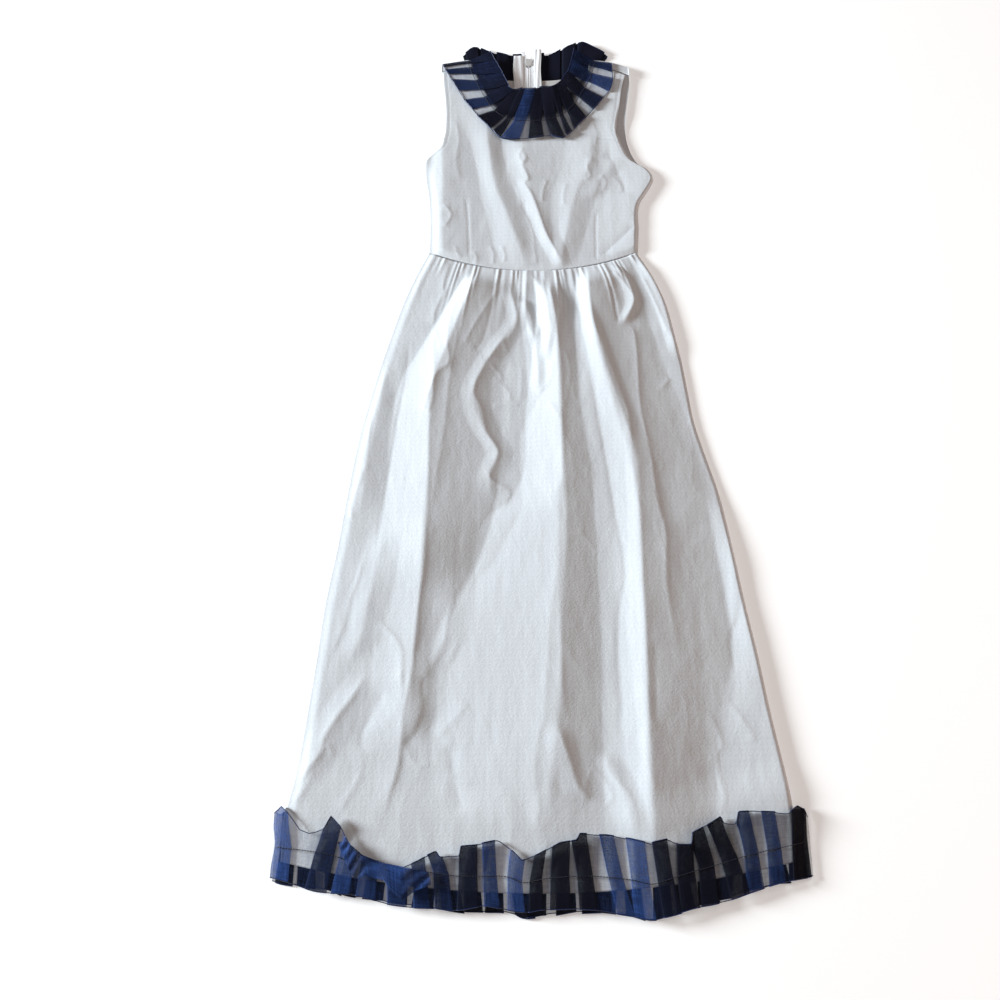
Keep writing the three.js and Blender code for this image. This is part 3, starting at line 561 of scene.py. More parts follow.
wire(tree,
     (fold_fact, "Fac", opacity, "Factor"), (single, "Result", opacity, "A"),
     (threefold, "Result", opacity, "B"), (painted_sheen_fact, "Fac", clearer, 0),
     (opacity, "Result", clearer, 2), (clearer, "Value", surface, "Alpha"),
     (boost, "Result", painted_sheen_patch, 0), (painted_sheen_fact, "Fac", painted_sheen_patch, 1),
     (fold_fact, "Fac", lone, 1), (lone, "Value", lit_through, 0),
     (painted_sheen_patch, "Value", lit_through, 2), (lit_through, "Value", dye_and_painted_sheen, "Factor"),
     (dye_and_painted_sheen, "Result", surface, "Base Color"), (weave, "Height", relief, "Height"),
     (relief, "Normal", surface, "Normal"))
surface.inputs["Roughness"].default_value = 0.62
surface.inputs["Specular IOR Level"].default_value = 0.07
surface.inputs["Sheen Weight"].default_value = 0.10
surface.inputs["Sheen Roughness"].default_value = 0.28
surface.inputs["Sheen Tint"].default_value = (0.2, 0.3, 0.8, 1)


def simple_material(name, color, roughness, metallic=0.0, dull=40.0):
    """A plain finish, made slightly uneven by noise in its roughness."""
    made, tree, surface = new_material(name)
    speck = add_node(tree, "TexNoise", Scale=dull, Detail=2.0)
    spread = add_node(tree, "MapRange", To_Min=roughness - 0.06, To_Max=roughness + 0.06)
    wire(tree, (speck, "Fac", spread, "Value"), (spread, "Result", surface, "Roughness"))
    surface.inputs["Base Color"].default_value = color
    surface.inputs["Metallic"].default_value = metallic
    return made


satin = simple_material("rolled_edge_blue", (0.008, 0.018, 0.075, 1), 0.35)
dark_thread = simple_material("thread_navy", (0.004, 0.005, 0.018, 1), 0.5)
white_thread = simple_material("thread_white", (0.62, 0.64, 0.68, 1), 0.55)
enamel = simple_material("zip_enamel", (0.66, 0.65, 0.64, 1), 0.32, 0.15)
nylon = simple_material("zip_nylon", (0.72, 0.72, 0.74, 1), 0.4)
paper = simple_material("pale_floor", (0.95, 0.95, 0.95, 1), 0.9, dull=2.0)
paper_surface = paper.node_tree.nodes["Principled BSDF"]
paper_surface.inputs["Emission Color"].default_value = (1, 1, 1, 1)
paper_surface.inputs["Emission Strength"].default_value = 0.3
floor.data.materials.append(paper)
print("finishes:", [made.name for made in bpy.data.materials])

# %% [markdown]
# ## Outline and large folds
#
# These tables hold the dress's own sizes in millimetres: the side edges from waist to hem, and
# the ridges that run down the skirt. A fold row names a place on its crest and how far the left
# and the right flank spread from there. The right flanks are the short ones, so they are steep.

# %% Sizes
CLOTH = 1.4
GAP = 0.3
UNDER_RUFFLE = 4
PUFF = 2.4
SIDE_LEFT, SIDE_RIGHT = 16, 4
CENTRE_BACK = -5
WAIST_SIDE, WAIST_DROP = 293, 35
HEM_SIDE, HEM_DROP = -655, 40
WAIST_HALF, HEM_HALF = 171, 345
FRONT_GATHERS, BACK_GATHERS = 34, 11

SKIRT_EDGES = (("y", "left", "right"), [
    (293, -172, 169), (250, -192, 192), (200, -211, 211), (140, -229, 223), (94, -242, 231),
    (37, -256, 238), (-10, -267, 244), (-56, -276, 255), (-132, -287, 275), (-216, -298, 289),
    (-300, -311, 301), (-380, -319, 314), (-454, -327, 324), (-543, -338, 338),
    (-600, -349, 343), (-655, -349, 339),
])

FOLD_NAMES = ("y", "x", "left", "right")
SKIRT_FOLDS = [
    (10, [(262, -88, 16, 50), (200, -110, 26, 84), (124, -136, 40, 104), (69, -155, 50, 104),
          (7, -161, 58, 106), (-99, -163, 62, 104), (-200, -168, 66, 92), (-300, -174, 60, 60)]),
    (4.4, [(-150, -166, 62, 100), (-256, -170, 66, 72), (-345, -176, 60, 38), (-438, -182, 58, 36),
           (-530, -190, 56, 40)]),
    (11.5, [(256, 27, 14, 20), (211, 26, 20, 30), (167, 32, 28, 44), (119, 35, 36, 62),
            (16, 37, 50, 88), (-141, 42, 82, 90), (-165, 42, 113, 90), (-256, 38, 138, 90),
            (-345, 33, 182, 94), (-438, 27, 179, 104), (-521, 18, 166, 116), (-700, 0, 136, 104)]),
    (2.6, [(215, 76, 12, 12), (150, 90, 15, 16), (90, 103, 18, 20), (25, 118, 22, 26),
           (-60, 137, 30, 34), (-141, 148, 33, 46), (-235, 149, 34, 70), (-354, 149, 34, 80),
           (-495, 149, 34, 80), (-760, 149, 30, 60)]),
    (10.6, [(330, 92, 16, 60), (215, 88, 20, 80), (153, 94, 30, 90), (76, 112, 44, 92),
            (16, 128, 58, 96), (-69, 150, 68, 96), (-157, 153, 66, 122), (-283, 153, 63, 120),
            (-352, 153, 62, 122), (-420, 153, 62, 120), (-521, 152, 64, 92), (-800, 152, 62, 84)]),
    (4.2, [(-100, 266, 16, 4), (-216, 285, 20, 4), (-300, 297, 22, 4), (-380, 310, 32, 4),
           (-454, 320, 66, 4), (-543, 334, 90, 4), (-640, 338, 96, 4)]),
    (1.7, [(90, -232, 12, 16), (16, -242, 14, 20), (-70, -254, 16, 24), (-180, -268, 16, 20)]),
    (2.3, [(-170, -226, 20, 26), (-262, -240, 26, 30), (-303, -248, 28, 32),
           (-340, -254, 26, 30), (-395, -272, 18, 26)]),
    (1.5, [(-395, -238, 24, 34), (-434, -265, 26, 38), (-469, -287, 26, 38), (-500, -303, 22, 32),
           (-560, -326, 16, 24)]),
    (1.6, [(-250, -118, 22, 26), (-300, -126, 26, 30), (-350, -136, 28, 32), (-394, -157, 28, 30),
           (-454, -164, 26, 26), (-510, -190, 20, 20)]),
    (1.8, [(225, -40, 14, 16), (167, -30, 16, 20), (129, -52, 18, 22), (87, -78, 18, 22),
           (37, -98, 18, 24), (-28, -79, 18, 24), (-61, -59, 18, 22), (-107, -71, 18, 20),
           (-165, -54, 16, 18)]),
    (2.6, [(272, 124, 8, 8), (254, 140, 12, 10), (202, 160, 14, 12), (150, 139, 10, 10)]),
    (2.2, [(205, -15, 12, 8), (124, 0, 16, 11), (30, 3, 12, 9)]),
    (2, [(246, 6, 8, 7), (153, 22, 10, 9), (85, 14, 9, 8)]),
    (2.6, [(285, 166, 10, 4), (250, 187, 16, 4), (211, 203, 16, 4), (150, 216, 12, 4), (90, 227, 12, 4)]),
    (1.6, [(-465, 22, 20, 16), (-536, 42, 24, 18), (-569, 56, 22, 18), (-582, 72, 20, 16)]),
    (2.2, [(-505, 88, 18, 16), (-555, 109, 24, 20), (-635, 129, 22, 18)]),
]


def waist_y(across):
    return WAIST_SIDE - WAIST_DROP * (1 - across * across)


def hem_y(across):
    return HEM_SIDE - HEM_DROP * (1 - across * across)


def skirt_left(y):
    return column(SKIRT_EDGES, "y", "left", y)


def skirt_right(y):
    return column(SKIRT_EDGES, "y", "right", y)


print("large folds on the skirt:", len(SKIRT_FOLDS))

# %% [markdown]
# ## Fine creases
#
# A crease is a line on the cloth with a rise and two flank widths: a wide left flank and a
# narrow right one make a ridge that is bright on one side and sharply dark on the other. A
# negative rise makes the foot line at which a facet begins. They are placed one by one and differ
# in length and depth, because cloth never folds twice the same way.

# %% Crease tables
SKIRT_CREASES = [
    # rise, left, right, points down the cloth
    (1.2, 10, 5, [(-160, 152), (-161, 106), (-158, 69), (-170, 16), (-172, -1)]),
    (0.6, 5, 4, [(-160, 152), (-152, 124), (-150, 104)]),
    (1.6, 9, 5, [(-139, 276), (-148, 227), (-146, 218), (-160, 183), (-162, 152)]),
    (2.0, 12, 6, [(-86, 266), (-119, 215), (-135, 167), (-139, 124), (-136, 86), (-155, 69)]),
    (0.9, 5, 4, [(-52, 234), (-96, 155), (-112, 118)]),
    (-1.2, 7, 8, [(-55, 259), (-66, 199), (-82, 130), (-98, 106)]),
    (1.3, 5, 10, [(-41, 263), (-38, 215), (-29, 167), (-41, 136), (-52, 130), (-66, 109), (-75, 91)]),
    (0.6, 9, 4, [(-75, 91), (-98, 40), (-90, 16), (-79, -28), (-57, -62), (-71, -79), (-71, -104),
                 (-43, -124)]),
    (0.8, 5, 3, [(-75, 91), (-55, 69), (-52, 57)]),
    (0.6, 4, 3, [(-52, 130), (-43, 106)]),
    (0.8, 6, 3, [(-68, 66), (-44, 43), (-39, 22)]),
    (0.9, 5, 3, [(-70, 15), (-46, 18), (-23, 18)]),
    (0.7, 5, 3, [(-22, 87), (-22, 50), (-25, 22)]),
    (-1.2, 6, 9, [(-16, 189), (-11, 136), (-3, 91), (1, 45)]),
    (1.5, 8, 4, [(-7, 256), (9, 221), (11, 174), (0, 124)]),
    (0.9, 6, 4, [(26, 94), (23, 60), (1, 31)]),
    (0.8, 5, 3, [(19, 19), (31, 1), (35, -13)]),
    (0.6, 4, 3, [(-239, 87), (-225, 69)]),
    (0.5, 4, 4, [(-223, -107), (-197, -108)]),
    (0.5, 4, 4, [(-222, -121), (-199, -116), (-170, -118)]),
    (0.9, 7, 4, [(-273, -121), (-279, -149), (-277, -172)]),
    (2.2, 9, 4, [(125, 256), (144, 234), (159, 199), (138, 155)]),
    (-1.2, 3, 9, [(123, 231), (133, 155)]),
    (1.8, 10, 4, [(173, 253), (188, 215), (202, 174), (214, 136)]),
    (0.5, 4, 4, [(210, 64), (196, 45)]),
    (1.1, 11, 3, [(-256, -226), (-263, -262), (-274, -297), (-281, -334), (-297, -377)]),
    (0.8, 4, 4, [(-298, -501), (-290, -506), (-289, -518)]),
    (1.3, 12, 4, [(-230, -325), (-198, -365), (-195, -425)]),
    (0.7, 5, 5, [(-188, -506), (-170, -529), (-149, -525)]),
    (0.6, 5, 5, [(-118, -536), (-116, -550), (-89, -554)]),
    (-1.0, 10, 22, [(-48, -60), (-66, -163), (-97, -256), (-146, -345), (-156, -438), (-150, -510)]),
    (1.0, 16, 6, [(30, -141), (26, -262), (17, -317), (7, -449), (-3, -496), (-8, -542), (-3, -588),
                  (-17, -632)]),
    (1.3, 9, 4, [(22, -471), (42, -527), (52, -558), (70, -576)]),
    (1.3, 9, 4, [(89, -512), (98, -543), (122, -573), (129, -615)]),
    (1.0, 8, 4, [(266, -440), (292, -481), (296, -499)]),
    (0.8, 6, 4, [(-337, -577), (-330, -569), (-320, -549)]),
    (0.8, 6, 4, [(-245, -536), (-258, -562), (-273, -591)]),
    (0.8, 6, 4, [(-310, -536), (-328, -575)]),
    (1.1, 15, 4, [(5, 254), (27, 205), (35, 142), (39, 94), (40, 45), (39, -71), (35, -172)]),
    (1.0, 18, 4, [(33, -100), (32, -172), (31, -383), (36, -481)]),
    (-1.4, 4, 20, [(-200, 137), (-203, 64), (-213, -1), (-220, -60), (-226, -112), (-231, -172)]),
    (1.3, 14, 4, [(-236, 82), (-240, 57), (-255, -1), (-258, -71), (-263, -99), (-278, -138)]),
    (0.8, 5, 3, [(-161, 99), (-160, 57), (-166, 31), (-165, 7), (-171, -1)]),
    (1.3, 12, 3, [(-137, 87), (-157, 61), (-160, 23), (-165, -13), (-163, -172)]),
    (0.9, 9, 5, [(-118, 171), (-134, 64), (-138, 16), (-142, -30), (-160, -172)]),
    (2.0, 20, 3.5, [(-163, -100), (-166, -233), (-173, -297), (-178, -364), (-184, -419), (-190, -454),
                    (-192, -492), (-197, -534), (-207, -569), (-215, -614)]),
    (-1.3, 4, 12, [(-159, -404), (-164, -419), (-162, -454), (-174, -487), (-190, -503)]),
    (0.9, 8, 5, [(-121, -288), (-131, -322), (-138, -364), (-159, -404)]),
    (0.6, 3, 5, [(-117, -358), (-132, -389)]),
    (-1.2, 12, 24, [(19, 106), (26, 87), (15, 45), (-15, -8), (-25, -51), (-24, -126), (-26, -161),
                   (-51, -207), (-66, -239), (-91, -271), (-106, -322)]),
    (0.5, 6, 4, [(41, 119), (54, 76), (47, 28), (42, 1)]),
    (0.5, 5, 5, [(59, -188), (92, -230)]),
    (-1.2, 4, 14, [(78, 87), (88, 45), (94, -1), (102, -56), (109, -112), (117, -172), (121, -194),
                   (126, -259), (116, -317), (112, -384), (114, -449), (109, -506)]),
    (1.4, 8, 4, [(50, 259), (51, 231), (65, 189), (69, 174), (70, 137)]),
    (1.3, 12, 4, [(82, 243), (88, 198), (94, 154), (107, 115), (121, 69), (135, 23), (142, -8),
                    (143, -56), (147, -112), (151, -172), (151, -283), (152, -351), (150, -449),
                    (148, -511), (147, -573), (150, -609)]),
    (-1.2, 10, 10, [(166, -354), (160, -481)]),
    (1.8, 10, 5, [(147, 162), (157, 142), (160, 94), (161, 11), (172, -64), (181, -153), (189, -194),
                  (187, -283), (201, -397)]),
    (-1.0, 4, 18, [(290, -238), (293, -283), (289, -317), (275, -357), (281, -410)]),
    (1.2, 10, 5, [(234, -451), (252, -496), (244, -521), (250, -573), (239, -594)]),
    (0.5, 5, 5, [(211, 64), (191, 40)]),
    (1.6, 7, 5, [(-243, -394), (-261, -431), (-286, -466), (-300, -492), (-302, -509), (-318, -531),
                 (-338, -559)]),
    (-1.2, 12, 10, [(-218, -424), (-231, -454), (-247, -484), (-249, -513)]),
    (0.7, 5, 3, [(-198, -394), (-194, -424), (-196, -440)]),
    (-1.5, 12, 14, [(-128, -498), (-117, -549), (-108, -596)]),
    (0.9, 9, 9, [(-99, -442), (-144, -492)]),
    (1.3, 6, 4, [(-15, 254), (-14, 174), (0, 128)]),
    (1.1, 5, 4, [(13, 250), (22, 149)]),
    (1.2, 8, 4, [(-51, 133), (-65, 108), (-79, 87), (-96, 40), (-85, 11), (-76, -30), (-59, -64),
                 (-72, -104), (-44, -123), (-45, -141), (-60, -172)]),
    (0.9, 6, 4, [(57, -573), (66, -542), (76, -537), (97, -570), (77, -591)]),
]


def crease_height(creases, x, y):
    """All narrow creases of a table added up. Each fades at its two ends."""
    scale, end_fade, soft = 0.72, 0.16, 0.5
    height = np.zeros_like(x)
    for rise, left, right, points in creases:
        line = line_through(points, 5)
        reach = 3.5 * max(left, right)
        low, high = line.min(0) - reach, line.max(0) + reach
        near = (x > low[0]) & (x < high[0]) & (y > low[1]) & (y < high[1])
        if not near.any():
            continue
        step = np.diff(line, axis=0)
        aside = np.stack([x[near], y[near]], -1)[:, None] - line[None, :-1]
        share = clamp((aside * step).sum(-1) / (step ** 2).sum(-1))
        off = aside - share[..., None] * step
        distance = np.hypot(off[..., 0], off[..., 1])
        best = distance.argmin(1)
        row = np.arange(len(best))
        distance = distance[row, best]
        side = step[best, 0] * aside[row, best, 1] - step[best, 1] * aside[row, best, 0]
        along = (best + share[row, best]) / len(step)
        fade = smooth(along / end_fade) * smooth((1 - along) / end_fade)
        width = np.where(side > 0, right, left)
        drop = (soft - np.sqrt(distance ** 2 + soft ** 2)) / width
        height[near] += scale * rise * fade * np.exp(drop)
    return height


QUICK_FADE, SLOW_FADE, END_FADE = 0.07, 0.25, 0.22


def fold_height(folds, x, y, sharp):
    """All large folds added up. sharp is 0 for round crests and 1 for pressed ones. A fold
    that starts near the waist seam rises quickly, and one that starts in the cloth slowly."""
    low_start, high_start = 190, 400
    height = np.zeros_like(x)
    for rise, rows in folds:
        table = (FOLD_NAMES, rows)
        top_y, end_y = rows[0][0], rows[-1][0]
        aside = x - column(table, "y", "x", y)
        flank = np.where(aside < 0, column(table, "y", "left", y), column(table, "y", "right", y))
        share = (top_y - y) / (top_y - end_y)
        fade_in = QUICK_FADE if low_start < top_y < high_start else SLOW_FADE
        fade = smooth(share / fade_in) * smooth((1 - share) / END_FADE)
        q = clamp((np.sqrt(aside ** 2 + 4) - 2) / flank)
        shape = mix(1 - smooth(q), (1 - q) ** 1.12, sharp)
        height += rise * fade * shape
    return height


print("fine creases on the skirt:", len(SKIRT_CREASES))

# %% [markdown]
# ## The front of the skirt
#
# The skirt is a flared panel gathered into the waist seam. Every gather starts as a narrow
# ridge at the seam and dies out below it; a few grow into the large folds.

# %% Skirt height
HEM_SECTIONS = (("x", "stitch", "down", "lift"), [
    (-362, -634, 40, 0), (-350, -637, 40, 2), (-330, -639, 44, 3), (-300, -643, 49, 2),
    (-280, -647, 47, 5), (-262, -652, 43, 4), (-240, -655, 43, 3), (-210, -660, 46, 2),
    (-180, -664, 47, 2), (-150, -668, 45, 4), (-110, -673, 42, 2), (-75, -673, 37, 3),
    (-45, -674, 41, 2), (-25, -681, 37, 1), (0, -677, 38, 3), (30, -674, 40, 2), (60, -673, 41, 3),
    (120, -678, 45, 2), (145, -683, 44, 3), (165, -678, 45, 2), (195, -669, 45, 2), (225, -661, 47, 4),
    (250, -654, 48, 2), (275, -647, 47, 3), (305, -640, 44, 2), (335, -634, 44, 3), (362, -628, 44, 0),
])
HEM_FREE_EDGE = np.array([
    (-362, -592), (-352, -584), (-338, -597), (-324, -615), (-309, -620), (-292, -613), (-283, -597),
    (-270, -610), (-257, -633), (-237, -649), (-207, -659), (-186, -663), (-164, -654), (-141, -642),
    (-136, -649), (-110, -648), (-108, -636), (-88, -634), (-58, -628), (-38, -642), (-26, -654),
    (-4, -645), (13, -637), (25, -631), (48, -628), (50, -620), (88, -622), (119, -627), (145, -633),
    (167, -627), (183, -634), (200, -634), (202, -619), (229, -605), (241, -598), (247, -607),
    (262, -607), (266, -592), (285, -590), (333, -594), (348, -584), (358, -588), (362, -597),
])


def stitch_y(x):
    return column(HEM_SECTIONS, "x", "stitch", x)


def back_rest(x, y):
    """How high the back lies: on the floor, or on the ruffle under it at hem and neck."""
    over_hem = smooth((stitch_y(x) + 120 - y) / 56)
    over_neck = smooth((y - 520) / 60)
    return UNDER_RUFFLE * np.maximum(over_hem, over_neck)


def gather_height(count, seed, across, below):
    """One ridge for each gather, uneven in place, height and length."""
    drift = 0.5 * np.sin(across * 29 + seed) + 0.3 * np.sin(across * 71 + 2 * seed)
    place = clamp(across) * count + drift
    number = np.floor(place)
    size = 0.66 + 0.34 * np.sin(number * 2.4 + seed)
    length = 85 + 65 * np.sin(number * 1.7 + seed)
    q = np.abs(2 * (place - number) - 1 + 0.18 * np.sin(number * 3.1))
    arch = (1 - clamp(q)) ** 1.25
    return size * arch * smooth(0.62 + below / 22) * (1 - smooth(below / length))


def seam_round(x, left, right):
    """Comes down to the side seams: softly at the left one, where the cloth lies folded under."""
    return smooth((x - left) / SIDE_LEFT) * smooth((right - x) / SIDE_RIGHT)


def wrinkles(x, y, seed, amount):
    """Faint crumples, longer down the cloth than across it."""
    long_ones = ripple(x / 13 + 20, y / 62 + 20 + x / 160, seed)
    short_ones = ripple(x / 6.5 + 20, y / 17 + 20, seed + 1)
    return amount * (long_ones + 0.45 * short_ones)


FOLD_SCALE = 1.18


def skirt_top(x, y):
    """The upper side of the front. The waist seam holds all folds down at their start."""
    left, right = skirt_left(y), skirt_right(y)
    inner = np.clip(x, left, right)
    share = (inner - left) / (right - left)
    below = waist_y(2 * share - 1) - y
    flatten = 1 - 0.45 * smooth((-y - 560) / 90)
    gathers = 1.9 * gather_height(FRONT_GATHERS, 0.4, share, below)
    at_seam = smooth((waist_y(x / WAIST_HALF) - y + 3) / 42)
    folds = FOLD_SCALE * at_seam * fold_height(SKIRT_FOLDS, inner, y, 0.92)
    fine = crease_height(SKIRT_CREASES, inner, y)
    raised = PUFF + gathers + flatten * (folds + fine) + wrinkles(inner, y, 5, 0.16)
    return back_rest(x, y) + CLOTH + GAP + CLOTH + seam_round(inner, left, right) * raised


def skirt_grid(columns, rows):
    along, down = unit_grid(columns, rows)
    y = mix(waist_y(2 * along - 1) - GAP, hem_y(2 * along - 1), down)
    return mix(skirt_left(y), skirt_right(y), along), y


# %% Build the skirt front
x, y = skirt_grid(236, 400)
z = skirt_top(x, y)
skirt_front = sheet_object("skirt_front_cloth", x, y, z, bazin, CLOTH)
finish_piece(skirt_front, "bazin", "skirt_front")
print("skirt front height in mm:", round(float(z.min()), 1), "to", round(float(z.max()), 1))

# %% [markdown]
# ## The back of the skirt
#
# The back is two halves with the zip and a seam between them. It carries the weight of the
# dress, so it is pressed flat against the floor and its creases only dent upward a little.

# %% Build the skirt back
BACK_CREASES = [
    # rise, left, right, points down the cloth
    (1.5, 12, 6, [(-150, 240), (-172, 120), (-190, -20), (-204, -180), (-214, -330)]),
    (1.2, 8, 5, [(-70, 250), (-84, 160), (-102, 60), (-110, -90)]),
    (1.5, 14, 6, [(-50, -60), (-66, -200), (-92, -330), (-130, -470), (-170, -590)]),
    (1.0, 7, 4, [(-250, -250), (-266, -340), (-290, -430), (-316, -520)]),
    (1.0, 6, 4, [(-30, -380), (-44, -470), (-40, -560), (-56, -620)]),
    (0.8, 5, 5, [(-212, 60), (-226, -20), (-240, -90)]),
    (1.4, 12, 6, [(66, 246), (84, 130), (96, 0), (116, -140), (122, -300)]),
    (1.2, 8, 5, [(140, 240), (164, 150), (178, 40), (190, -60)]),
    (1.5, 14, 6, [(30, -120), (52, -260), (64, -400), (92, -520), (110, -620)]),
    (1.1, 8, 4, [(200, -140), (226, -260), (240, -380), (262, -500), (268, -600)]),
    (0.9, 6, 4, [(150, -330), (170, -420), (164, -520)]),
    (0.7, 5, 5, [(20, 120), (34, 40), (28, -40)]),
]


ZIP_END = 150


def back_dents(x, y):
    folds = clamp(crease_height(BACK_CREASES, x, y) / 3) * 3
    return folds + 0.14 * (1 + ripple(x / 17 + 20, y / 60 + 20, 11))


def skirt_back(name, side, node):
    along, down = unit_grid(110, 260)
    across = side * (1 - along)
    y = mix(waist_y(across) - GAP, hem_y(across), down)
    opening = smooth((y - ZIP_END + 40) / 65)
    centre = CENTRE_BACK + side * mix(GAP / 2, 3, opening)
    x = mix(skirt_left(y) if side < 0 else skirt_right(y), centre, along)
    below = waist_y(across) - y
    edge = smooth(along / 0.06) * smooth((1 - along) / 0.05)
    gathers = 1.1 * gather_height(BACK_GATHERS, 1.9, along, below)
    z = back_rest(x, y) + edge * (gathers + back_dents(x, y))
    made = sheet_object(name, x, y, z, bazin, -CLOTH, mirrored=side > 0)
    return finish_piece(made, "bazin", node)


skirt_back_left = skirt_back("skirt_back_left_cloth", -1, "skirt_back_left")
skirt_back_right = skirt_back("skirt_back_right_cloth", 1, "skirt_back_right")

# %% [markdown]
# ## The bodice
#
# The front is one panel with two waist darts and an armhole dart. A dart is a wedge of cloth
# sewn away, so it shows as a thin groove that ends at a point. The back halves lie under it,
# and wrap over the shoulder to meet it at a seam on the front side.

# %% Bodice tables
BODICE_EDGES = (("y", "left", "right", "back_right"), [
    (682, -160, 172, 171), (667, -157, 169, 170), (628, -154, 158, 170), (588, -150, 152, 164),
    (553, -149, 146, 160), (529, -150, 144, 160), (518, -152, 148, 161), (499, -157, 154, 165),
    (487, -170, 159, 169), (473, -181, 168, 176), (457, -182, 193, 192), (437, -181, 203, 203),
    (424, -179, 198, 198), (405, -176, 187, 187), (385, -174, 177, 176), (337, -172, 174, 171),
    (292, -172, 171, 169), (250, -172, 171, 169),
])
BODICE_FOLDS = [
    (4.0, [(580, -156, 10, 60), (490, -153, 18, 62), (420, -151, 20, 70), (350, -151, 20, 84),
           (293, -149, 20, 80), (200, -148, 20, 70)]),
    (4.2, [(600, -84, 50, 24), (500, -75, 28, 22), (461, -70, 24, 24), (430, -65, 24, 28),
           (402, -58, 28, 32), (374, -47, 32, 32), (346, -38, 36, 30), (318, -29, 38, 26),
           (290, -21, 38, 24), (240, -8, 34, 18)]),
    (3.5, [(560, -24, 24, 70), (478, -14, 28, 70), (440, -10, 26, 62), (402, -2, 22, 46),
           (363, 10, 18, 30), (329, 20, 17, 22), (290, 37, 16, 18), (240, 54, 14, 14)]),
    (3.4, [(560, 100, 40, 24), (467, 95, 44, 32), (419, 76, 40, 34), (374, 63, 32, 34),
           (332, 55, 22, 30), (290, 48, 16, 26), (240, 44, 12, 16)]),
    (3.8, [(600, 150, 30, 4), (540, 141, 30, 4), (500, 149, 34, 4), (473, 163, 50, 4),
           (455, 188, 70, 4), (437, 198, 80, 4), (420, 192, 76, 4), (385, 171, 66, 4),
           (337, 166, 60, 4), (292, 164, 58, 4), (220, 162, 50, 4)]),
    (1.8, [(490, 126, 20, 20), (470, 132, 20, 22), (430, 112, 22, 22), (390, 96, 20, 18)]),
]
BODICE_CREASES = [
    # rise, left, right, points down the cloth
    (-0.8, 1.6, 1.6, [(-112, 402), (-109, 360), (-107, 320), (-106, 272)]),
    (-0.8, 1.6, 1.6, [(105, 374), (103, 340), (102, 300), (101, 276)]),
    (-0.7, 1.4, 1.4, [(150, 512), (130, 517), (108, 519)]),
    (1.4, 6, 4, [(-151, 385), (-137, 363), (-150, 336)]),
    (1.5, 8, 2.5, [(-22, 495), (-12, 478), (-17, 461), (-8, 436), (-14, 425), (-2, 402), (10, 363),
                 (20, 329), (37, 290), (44, 273)]),
    (0.9, 4, 3, [(-16, 500), (-23, 480), (-15, 462)]),
    (1.0, 5, 3, [(24, 436), (17, 412), (15, 386)]),
    (0.9, 6, 4, [(56, 430), (50, 400), (52, 380)]),
    (1.2, 5, 4, [(104, 480), (92, 462), (96, 440), (84, 432)]),
    (0.9, 5, 4, [(112, 444), (122, 430), (116, 410)]),
    (0.9, 5, 4, [(134, 440), (146, 424), (150, 408)]),
    (-1.6, 12, 10, [(126, 492), (140, 460), (152, 425), (153, 402)]),
    (-1.6, 8, 8, [(170, 346), (152, 327), (130, 305), (110, 284)]),
    (1.0, 4, 3, [(-72, 306), (-66, 288), (-68, 268)]),
    (0.9, 4, 3, [(-54, 308), (-48, 286), (-50, 272)]),
    (0.8, 3, 3, [(-130, 306), (-126, 290), (-118, 280)]),
    (0.8, 3, 3, [(-100, 296), (-94, 282), (-96, 268)]),
    (1.1, 6, 4, [(-14, 372), (-2, 330), (2, 290), (4, 268)]),
    (0.9, 5, 4, [(-40, 470), (-38, 440), (-26, 408), (-18, 376)]),
    (0.8, 6, 5, [(-134, 560), (-126, 520), (-130, 470), (-122, 430)]),
    (1.0, 7, 5, [(96, 560), (110, 530), (106, 500)]),
]
NECK_HALF = 102
FRONT_NECK_Y = 560
BACK_NECK_Y = 641
SHOULDER_Y, SHOULDER_FALL, SHOULDER_OUT = 682, 17, 171
SHOULDER_TURN = 15
ARM_HEM = 6.5


def shoulder_y(x):
    out = clamp((np.abs(x) - NECK_HALF) / (SHOULDER_OUT - NECK_HALF))
    return SHOULDER_Y - SHOULDER_FALL * out * out


def front_top_y(x):
    out = np.abs(x) / NECK_HALF
    seam_end = SHOULDER_Y - SHOULDER_TURN - 2
    return np.where(out >= 1, shoulder_y(x) - SHOULDER_TURN, mix(FRONT_NECK_Y, seam_end, clamp(out) ** 3))


def bodice_sides(y):
    return [column(BODICE_EDGES, "y", side, y) for side in ("left", "right")]


def bodice_low(x, y):
    """The under side of the front panel, with large folds only: the solid's own surface."""
    left, right = bodice_sides(y)
    sewn = 1 - smooth((y - 440) / 40)
    across = mix(1, seam_round(x, left, right), sewn)
    at_waist = smooth((y - waist_y(x / WAIST_HALF) + 4) / 18)
    raised = PUFF + at_waist * fold_height(BODICE_FOLDS, x, y, 0.8)
    return back_rest(x, y) + CLOTH + GAP + across * raised


def bodice_top(x, y):
    """The upper side of the front panel, with its creases and the groove of the armhole hem."""
    left, right = bodice_sides(y)
    edge = smooth((x - left) / 8) * smooth((right - x) / 8)
    hem_groove = sum(np.exp(-((inward - ARM_HEM) / 1.3) ** 2) for inward in (x - left, right - x))
    armhole = smooth((y - 470) / 12)
    fine = edge * (crease_height(BODICE_CREASES, x, y) + wrinkles(x, y, 31, 0.14))
    return bodice_low(x, y) + CLOTH + fine - 0.35 * armhole * hem_groove


print("creases and darts on the bodice:", len(BODICE_CREASES))

# %% Build the bodice front
along, down = unit_grid(190, 210)
y = mix(front_top_y(mix(-158, 170, along)), waist_y(2 * along - 1), down)
x = mix(*bodice_sides(y), along)
z = bodice_top(x, y)
bodice_front = sheet_object("bodice_front_cloth", x, y, z, bazin, CLOTH)
finish_piece(bodice_front, "bazin", "bodice_front")
print("bodice front height in mm:", round(float(z.min()), 1), "to", round(float(z.max()), 1))

